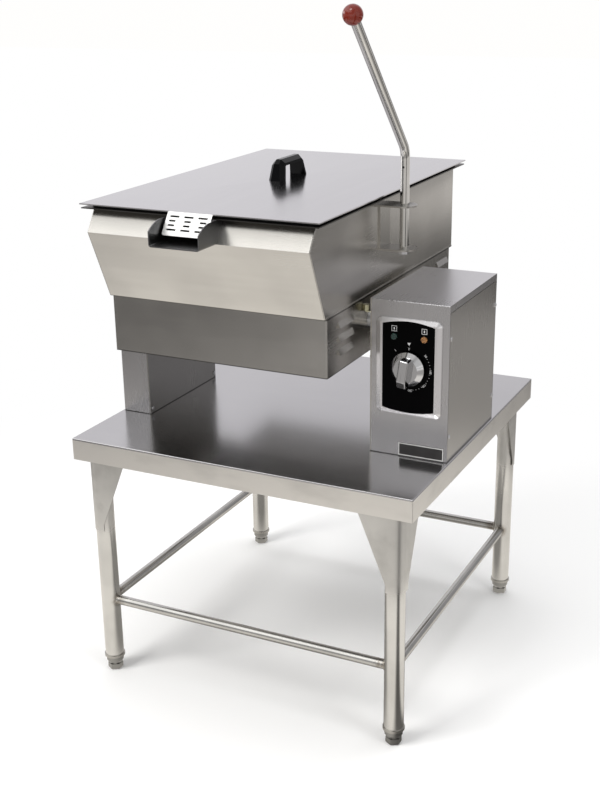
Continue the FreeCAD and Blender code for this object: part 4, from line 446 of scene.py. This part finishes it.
def material_for(node):
    """The finish of a CAD node; small hardware is bright steel."""
    if node in MATERIAL_OF:
        return MATERIAL_OF[node]
    if node.startswith(("leg_", "gusset_")):
        return leg_steel
    if node.startswith("rail_"):
        return rail_steel
    if node.startswith("foot_"):
        return foot_steel
    return bright_steel


def flat_areas(mesh, normals):
    """Area of the whole flat that each face belongs to, in square millimetres."""
    group = list(range(len(normals)))

    def top(index):
        while group[index] != index:
            group[index] = group[group[index]]
            index = group[index]
        return index

    first = {}
    for face in mesh.polygons:
        for edge in face.edge_keys:
            other = first.setdefault(edge, face.index)
            if other != face.index and normals[other].dot(normals[face.index]) > SAME_FLAT:
                group[top(face.index)] = top(other)
    total = {}
    for face in mesh.polygons:
        total[top(face.index)] = total.get(top(face.index), 0.0) + face.area / MM ** 2
    return [total[top(index)] for index in range(len(normals))]


def even_normals(mesh, angle):
    """Flats keep their own normal; the facets of bends and tubes blend into their neighbours."""
    normals = [face.normal.copy() for face in mesh.polygons]
    areas = flat_areas(mesh, normals)
    around = [[] for vertex in mesh.vertices]
    for face in mesh.polygons:
        for vertex in face.vertices:
            around[vertex].append(face.index)
    near = math.cos(math.radians(angle))
    corners = []
    for face in mesh.polygons:
        for vertex in face.vertices:
            blend = Vector()
            for other in around[vertex]:
                if normals[other].dot(normals[face.index]) > near:
                    blend += normals[other] * areas[other] ** 2
            corners.append(blend.normalized())
    mesh.normals_split_custom_set(corners)


def smooth_copy(node, body, angle):
    """A merged copy of a CAD node, shaded smooth except at its real edges."""
    mesh = frame["nodes"][node].data.copy()
    work = bmesh.new()
    work.from_mesh(mesh)
    bmesh.ops.remove_doubles(work, verts=work.verts, dist=0.004 * MM)
    work.to_mesh(mesh)
    work.free()
    mesh.polygons.foreach_set("use_smooth", [True] * len(mesh.polygons))
    mesh.set_sharp_from_angle(angle=math.radians(angle))
    even_normals(mesh, angle)
    mesh.materials.clear()
    mesh.materials.append(material_for(node))
    piece = bpy.data.objects.new("shown_" + node, mesh)
    bpy.context.scene.collection.objects.link(piece)
    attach(piece, body)
    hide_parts(node)
    return piece


BODY_OF = {}
for body, members in frame["record"]["behaviour"]["bodies"].items():
    for member in members:
        BODY_OF[member] = body


knob_low, knob_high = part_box("thermostat_knob")
PANEL_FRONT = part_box("fascia_plate")[0].y
KNOB_MIDDLE = Vector(((knob_low.x + knob_high.x) / 2, PANEL_FRONT, (knob_low.z + knob_high.z) / 2))
DIAL_STEPS = 4
DIAL_FIRST = 50
DIAL_START = 50
DIAL_PITCH = 42
DIAL_PARTS = 5
WELD_STEPS = 28
WELD_SIDES = 8


def dress_nodes():
    """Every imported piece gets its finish."""
    for node in sorted(frame["nodes"]):
        smooth_copy(node, BODY_OF[node], 20 if node in PLAIN_BENDS else 28)


def new_piece(name, work, material, body):
    """Makes a riding object of a bmesh."""
    mesh = bpy.data.meshes.new(name)
    work.to_mesh(mesh)
    work.free()
    mesh.materials.append(material)
    piece = bpy.data.objects.new(name, mesh)
    bpy.context.scene.collection.objects.link(piece)
    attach(piece, body)
    return piece


def block(work, low, high, turn=None):
    """Adds a box between two corners in millimetres, then turned."""
    low = Vector(low) * MM
    high = Vector(high) * MM
    place = Matrix.Translation((low + high) / 2) @ Matrix.Diagonal((*(high - low), 1.0))
    bmesh.ops.create_cube(work, size=1, matrix=place if turn is None else turn @ place)


def about_knob(degrees):
    """A turn about the middle of the knob, clockwise seen from the front."""
    there = Matrix.Translation(KNOB_MIDDLE)
    return there @ Matrix.Rotation(math.radians(degrees), 4, "Y") @ there.inverted()


def number_mesh(number, height):
    """The digits of a number as flat faces in the XY plane."""
    curve = bpy.data.curves.new("digits", "FONT")
    curve.body = str(number)
    curve.size = height
    curve.align_x = "CENTER"
    curve.align_y = "CENTER"
    curve.extrude = 0.05 * MM
    carrier = bpy.data.objects.new("digits", curve)
    bpy.context.scene.collection.objects.link(carrier)
    bpy.context.view_layer.update()
    mesh = bpy.data.meshes.new_from_object(carrier)
    bpy.data.objects.remove(carrier)
    bpy.data.curves.remove(curve)
    return mesh


def dial_print():
    """White marks on the control panel: numbers and ticks of the dial, its pointer and the lamp squares."""
    work = bmesh.new()
    middle = KNOB_MIDDLE / MM
    front = PANEL_FRONT / MM - 0.08
    back = PANEL_FRONT / MM + 0.02
    for step in range(DIAL_STEPS):
        turn = about_knob(DIAL_START + step * DIAL_PITCH)
        mesh = number_mesh(DIAL_FIRST * (step + 1), 5.6 * MM)
        upright = Matrix.Translation(KNOB_MIDDLE + Vector((0, 0, 42 * MM))) @ Matrix.Rotation(math.radians(90), 4, "X")
        mesh.transform(turn @ upright)
        work.from_mesh(mesh)
        bpy.data.meshes.remove(mesh)
        for part in range(1, DIAL_PARTS):
            angle = DIAL_START + (step + part / DIAL_PARTS - 1) * DIAL_PITCH
            if step:
                tick_low = (middle.x - 0.22, front, middle.z + 40.5)
                block(work, tick_low, (middle.x + 0.22, back, middle.z + 42.5), about_knob(angle))
    block(work, (middle.x - 0.5, front, middle.z + 34.5), (middle.x + 0.5, back, middle.z + 37.5))
    block(work, (middle.x - 1.8, front, middle.z + 38.2), (middle.x + 1.8, back, middle.z + 39.0))
    block(work, (middle.x - 0.4, front, middle.z + 38.5), (middle.x + 0.4, back, middle.z + 43.0), about_knob(-40))
    bmesh.ops.create_cone(work, cap_ends=True, segments=3, radius1=3.9 * MM, radius2=3.9 * MM, depth=0.1 * MM,
                          matrix=Matrix.Translation((middle.x * MM, PANEL_FRONT - 0.03 * MM, (middle.z + 46.5) * MM))
                          @ Matrix.Rotation(math.radians(90), 4, "X") @ Matrix.Rotation(math.radians(180), 4, "Z"))
    for lamp in ("lamp_green", "lamp_amber"):
        low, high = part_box(lamp)
        x = (low.x + high.x) / 2 / MM
        z = (low.z + high.z) / 2 / MM + 15.0
        outer = 5.2
        inner = 4.3
        block(work, (x - outer, front, z + inner), (x + outer, back, z + outer))
        block(work, (x - outer, front, z - outer), (x + outer, back, z - inner))
        block(work, (x - outer, front, z - inner), (x - inner, back, z + inner))
        block(work, (x + inner, front, z - inner), (x + outer, back, z + inner))
        block(work, (x - 1.2, front, z - 2.2), (x + 1.2, back, z + 2.2))
    new_piece("dial_print", work, print_white, "stand")


def badge_border():
    """Bright rim round the bare badge plate."""
    low, high = (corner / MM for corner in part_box("badge_plate"))
    work = bmesh.new()
    front = low.y - 0.5
    back = low.y + 0.1
    wide = 1.5
    block(work, (low.x, front, low.z + 0.1), (high.x, back, low.z + wide))
    block(work, (low.x, front, high.z - wide), (high.x, back, high.z))
    block(work, (low.x, front, low.z + wide), (low.x + wide, back, high.z - wide))
    block(work, (high.x - wide, front, low.z + wide), (high.x, back, high.z - wide))
    new_piece("badge_border", work, badge_silver, "stand")


def weld_ring(work, middle, way, leg_radius, rail_radius, thick):
    """A bead round a rail, following the round leg that it meets."""
    side = way.cross(STRAIGHT_UP)
    rings = []
    for turn in range(WELD_STEPS):
        angle = 2 * math.pi * turn / WELD_STEPS
        across = side * math.cos(angle) + STRAIGHT_UP * math.sin(angle)
        aside = rail_radius * math.cos(angle)
        along = math.sqrt(leg_radius ** 2 - aside ** 2)
        core = middle + across * rail_radius + way * (along + 0.3 * thick)
        swell = thick * (1 + 0.18 * math.sin(9 * angle))
        ring = []
        for corner in range(WELD_SIDES):
            lean = 2 * math.pi * corner / WELD_SIDES
            ring.append(work.verts.new(core + (across * math.cos(lean) + way * math.sin(lean)) * swell))
        rings.append(ring)
    for turn in range(WELD_STEPS):
        here = rings[turn]
        after = rings[(turn + 1) % WELD_STEPS]
        for corner in range(WELD_SIDES):
            other = (corner + 1) % WELD_SIDES
            face = work.faces.new((here[corner], here[other], after[other], after[corner]))
            face.smooth = True


def rail_welds():
    """Weld beads where the rails meet the legs."""
    low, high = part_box("rail_front")
    rail_radius = (high.z - low.z) / 2
    work = bmesh.new()
    for middle, way, leg_radius in rail_ends():
        weld_ring(work, middle, way, leg_radius, rail_radius, 1.1 * MM)
    bmesh.ops.recalc_face_normals(work, faces=work.faces)
    new_piece("rail_welds", work, weld_steel, "stand")


def aim(obj, place, target):
    """Puts a light at a place, facing a target."""
    obj.location = place
    obj.rotation_mode = "QUATERNION"
    obj.rotation_quaternion = (Vector(target) - Vector(place)).to_track_quat("-Z", "Y")


def soft_box(name, place, target, width, height, power, tint=(1.0, 1.0, 1.0)):
    """A rectangular studio light."""
    data = bpy.data.lights.new(name, "AREA")
    data.shape = "RECTANGLE"
    data.size = width
    data.size_y = height
    data.energy = power
    data.color = tint
    obj = bpy.data.objects.new(name, data)
    obj.visible_glossy = False
    bpy.context.scene.collection.objects.link(obj)
    aim(obj, place, target)
    return obj


def make_camera():
    """Camera at the photograph's place and angle."""
    data = bpy.data.cameras.new("camera")
    data.sensor_width = SENSOR
    data.lens = FOCAL_PIXELS / FRAME_HEIGHT * SENSOR
    data.clip_start = 0.05
    data.clip_end = 100
    obj = bpy.data.objects.new("camera", data)
    bpy.context.scene.collection.objects.link(obj)
    flat = math.cos(CAMERA_PITCH)
    forward = Vector((-math.sin(CAMERA_YAW) * flat, math.cos(CAMERA_YAW) * flat, -math.sin(CAMERA_PITCH)))
    level = forward.cross(STRAIGHT_UP).normalized()
    upward = level.cross(forward)
    right = level * math.cos(CAMERA_ROLL) + upward * math.sin(CAMERA_ROLL)
    upward = right.cross(forward)
    turn = Matrix((right, upward, -forward)).transposed()
    obj.matrix_world = Matrix.Translation(CAMERA_PLACE) @ turn.to_4x4()
    bpy.context.scene.camera = obj


def make_world():
    """White to the camera; in reflections a studio that is pale behind, dark low in front, with a window."""
    world = bpy.data.worlds.new("studio")
    bpy.context.scene.world = world
    world.use_nodes = True
    look = Look(world.node_tree)
    direction = look.node("ShaderNodeTexCoord").outputs["Generated"]
    parts = look.node("ShaderNodeSeparateXYZ", None, {"Vector": direction})
    across = Number(look, parts.outputs["X"])
    depth = Number(look, parts.outputs["Y"])
    height = Number(look, parts.outputs["Z"])
    behind = depth.step(-0.15, 0.45)
    right = across.step(0.05, 0.40)
    pale = 0.92 - right * 0.42 - across.step(-0.56, -0.34) * 0.08
    front_right = across.step(0.40, 0.70) * height.step(0.05, 0.15) * 0.40
    window = height.step(0.32, 0.53) * height.step(0.95, 0.80) * across.step(0.42, -0.25)
    lamp = look.node("ShaderNodeVectorMath", {"operation": "DISTANCE"}, {0: direction, 1: (-0.10, -0.50, 0.860)})
    spot = Number(look, lamp.outputs["Value"]).step(0.21, 0.15)
    narrow = (across * 0.60 + depth * 0.80).math("ABSOLUTE", 0.0).step(0.22, 0.07) * across.step(0.1, 0.4)
    front = 0.30 + front_right + window * 1.30 + spot * 5.0 + height.step(0.75, 0.95) * 0.45 + height.step(0.05, 0.0) * 0.5
    front = front + height.step(0.30, 0.20) * across.step(-0.62, -0.30) * (1 - narrow) * 0.30
    pale = pale * (1 - height.step(0.07, 0.01) * 0.4)
    strip = across.step(-0.90, -0.96) * height.step(0.07, 0.13) * height.step(0.40, 0.30)
    level = behind * pale + (1 - behind) * front + strip * 2.6
    path = look.node("ShaderNodeLightPath")
    glossy = Number(look, path.outputs["Is Glossy Ray"])
    clear = Number(look, path.outputs["Is Transmission Ray"])
    seen = Number(look, path.outputs["Is Camera Ray"])
    mirror = glossy + clear
    strength = seen * 1.0 + (1 - seen) * (mirror * level + (1 - mirror) * 0.60)
    colour = look.mix(mirror * behind, (1.0, 0.995, 0.985), (0.985, 0.970, 1.0))
    back = look.node("ShaderNodeBackground", None, {"Color": colour, "Strength": strength})
    output = look.node("ShaderNodeOutputWorld")
    look.fill(output.inputs["Surface"], back.outputs[0])


def make_floor():
    """Pale floor that keeps the shadow; to the camera it fades to white, in reflections it glows with painted light
    and shade.
    """
    work = bmesh.new()
    bmesh.ops.create_grid(work, x_segments=1, y_segments=1, size=16)
    mesh = bpy.data.meshes.new("floor")
    work.to_mesh(mesh)
    work.free()

    def make(look):
        x = look.axis("X")
        y = look.axis("Y")
        away = (x * x + y * y).math("POWER", 0.5)
        behind = y.step(-0.3, 0.6)
        path = look.node("ShaderNodeLightPath")
        mirror = Number(look, path.outputs["Is Glossy Ray"]) + Number(look, path.outputs["Is Transmission Ray"])
        seen = Number(look, path.outputs["Is Camera Ray"])
        # In reflections the floor's tone is painted light and shade: paler near the machine, darker and paler bands
        # further off
        near = away.step(1.75, 0.95) * (1 - behind * 0.22)
        ahead = 0.12 + x.step(-1.9, -0.3) * 0.36 + away.step(4.2, 5.6) * 0.30
        beyond = 0.36 + away.step(2.3, 2.7) * 0.05 - away.step(2.85, 3.25) * 0.38 + away.step(4.3, 5.0) * 0.80
        tone = behind * beyond + (1 - behind) * ahead
        tone = tone + near * (1 - tone)
        # A painted pool of light on the floor at the front left
        offset = look.node("ShaderNodeVectorMath", {"operation": "DISTANCE"}, {0: look.place(), 1: (-1.75, -1.0, 0.0)})
        tone = tone + Number(look, offset.outputs["Value"]).step(0.75, 0.35) * 0.75
        narrow = ((x * 0.60 + y * 0.80) / away).math("ABSOLUTE", 0.0).step(0.22, 0.07) * x.step(0.1, 0.4)
        tone = tone * (1 - narrow * 0.85) * (1 - behind * away.step(7.5, 9.5) * 0.60)
        # A painted shadow on the floor under the table
        tone = tone * (1 - away.step(0.50, 0.30) * 0.66)
        cream = look.mix(away.step(0.6, 2.4), (1.0, 0.962, 0.905), (1.0, 0.968, 0.940))
        mirrored = look.node("ShaderNodeEmission", None, {"Color": cream, "Strength": tone})
        paper = look.node("ShaderNodeBsdfDiffuse", None, {"Color": (0.97, 0.97, 0.97)})
        white = look.node("ShaderNodeEmission", None, {"Color": (1.0, 1.0, 1.0), "Strength": 1.0})
        fade = seen * away.step(0.75, 1.7)
        shown = look.node("ShaderNodeMixShader", None, {0: fade, 1: paper.outputs[0], 2: white.outputs[0]})
        return look.node("ShaderNodeMixShader", None, {0: mirror, 1: shown.outputs[0], 2: mirrored.outputs[0]})

    mesh.materials.append(finish_material("floor", make))
    obj = bpy.data.objects.new("floor", mesh)
    bpy.context.scene.collection.objects.link(obj)


def make_lights():
    """Large key at the front left, a weaker fill at the right and a top light, none seen in reflections."""
    middle = (0.0, 0.0, 0.75)
    soft_box("key", (-1.7, -2.6, 3.0), middle, 1.8, 1.4, 95, (1.0, 0.99, 0.97))
    soft_box("fill", (3.2, -1.2, 2.2), middle, 1.2, 1.6, 26)
    soft_box("top", (0.2, 0.6, 3.6), middle, 2.4, 2.4, 52, (0.98, 0.985, 1.0))


make_camera()
make_world()
make_floor()
make_lights()
dress_nodes()
dial_print()
badge_border()
rail_welds()

bpy.context.scene.view_settings.view_transform = "Standard"
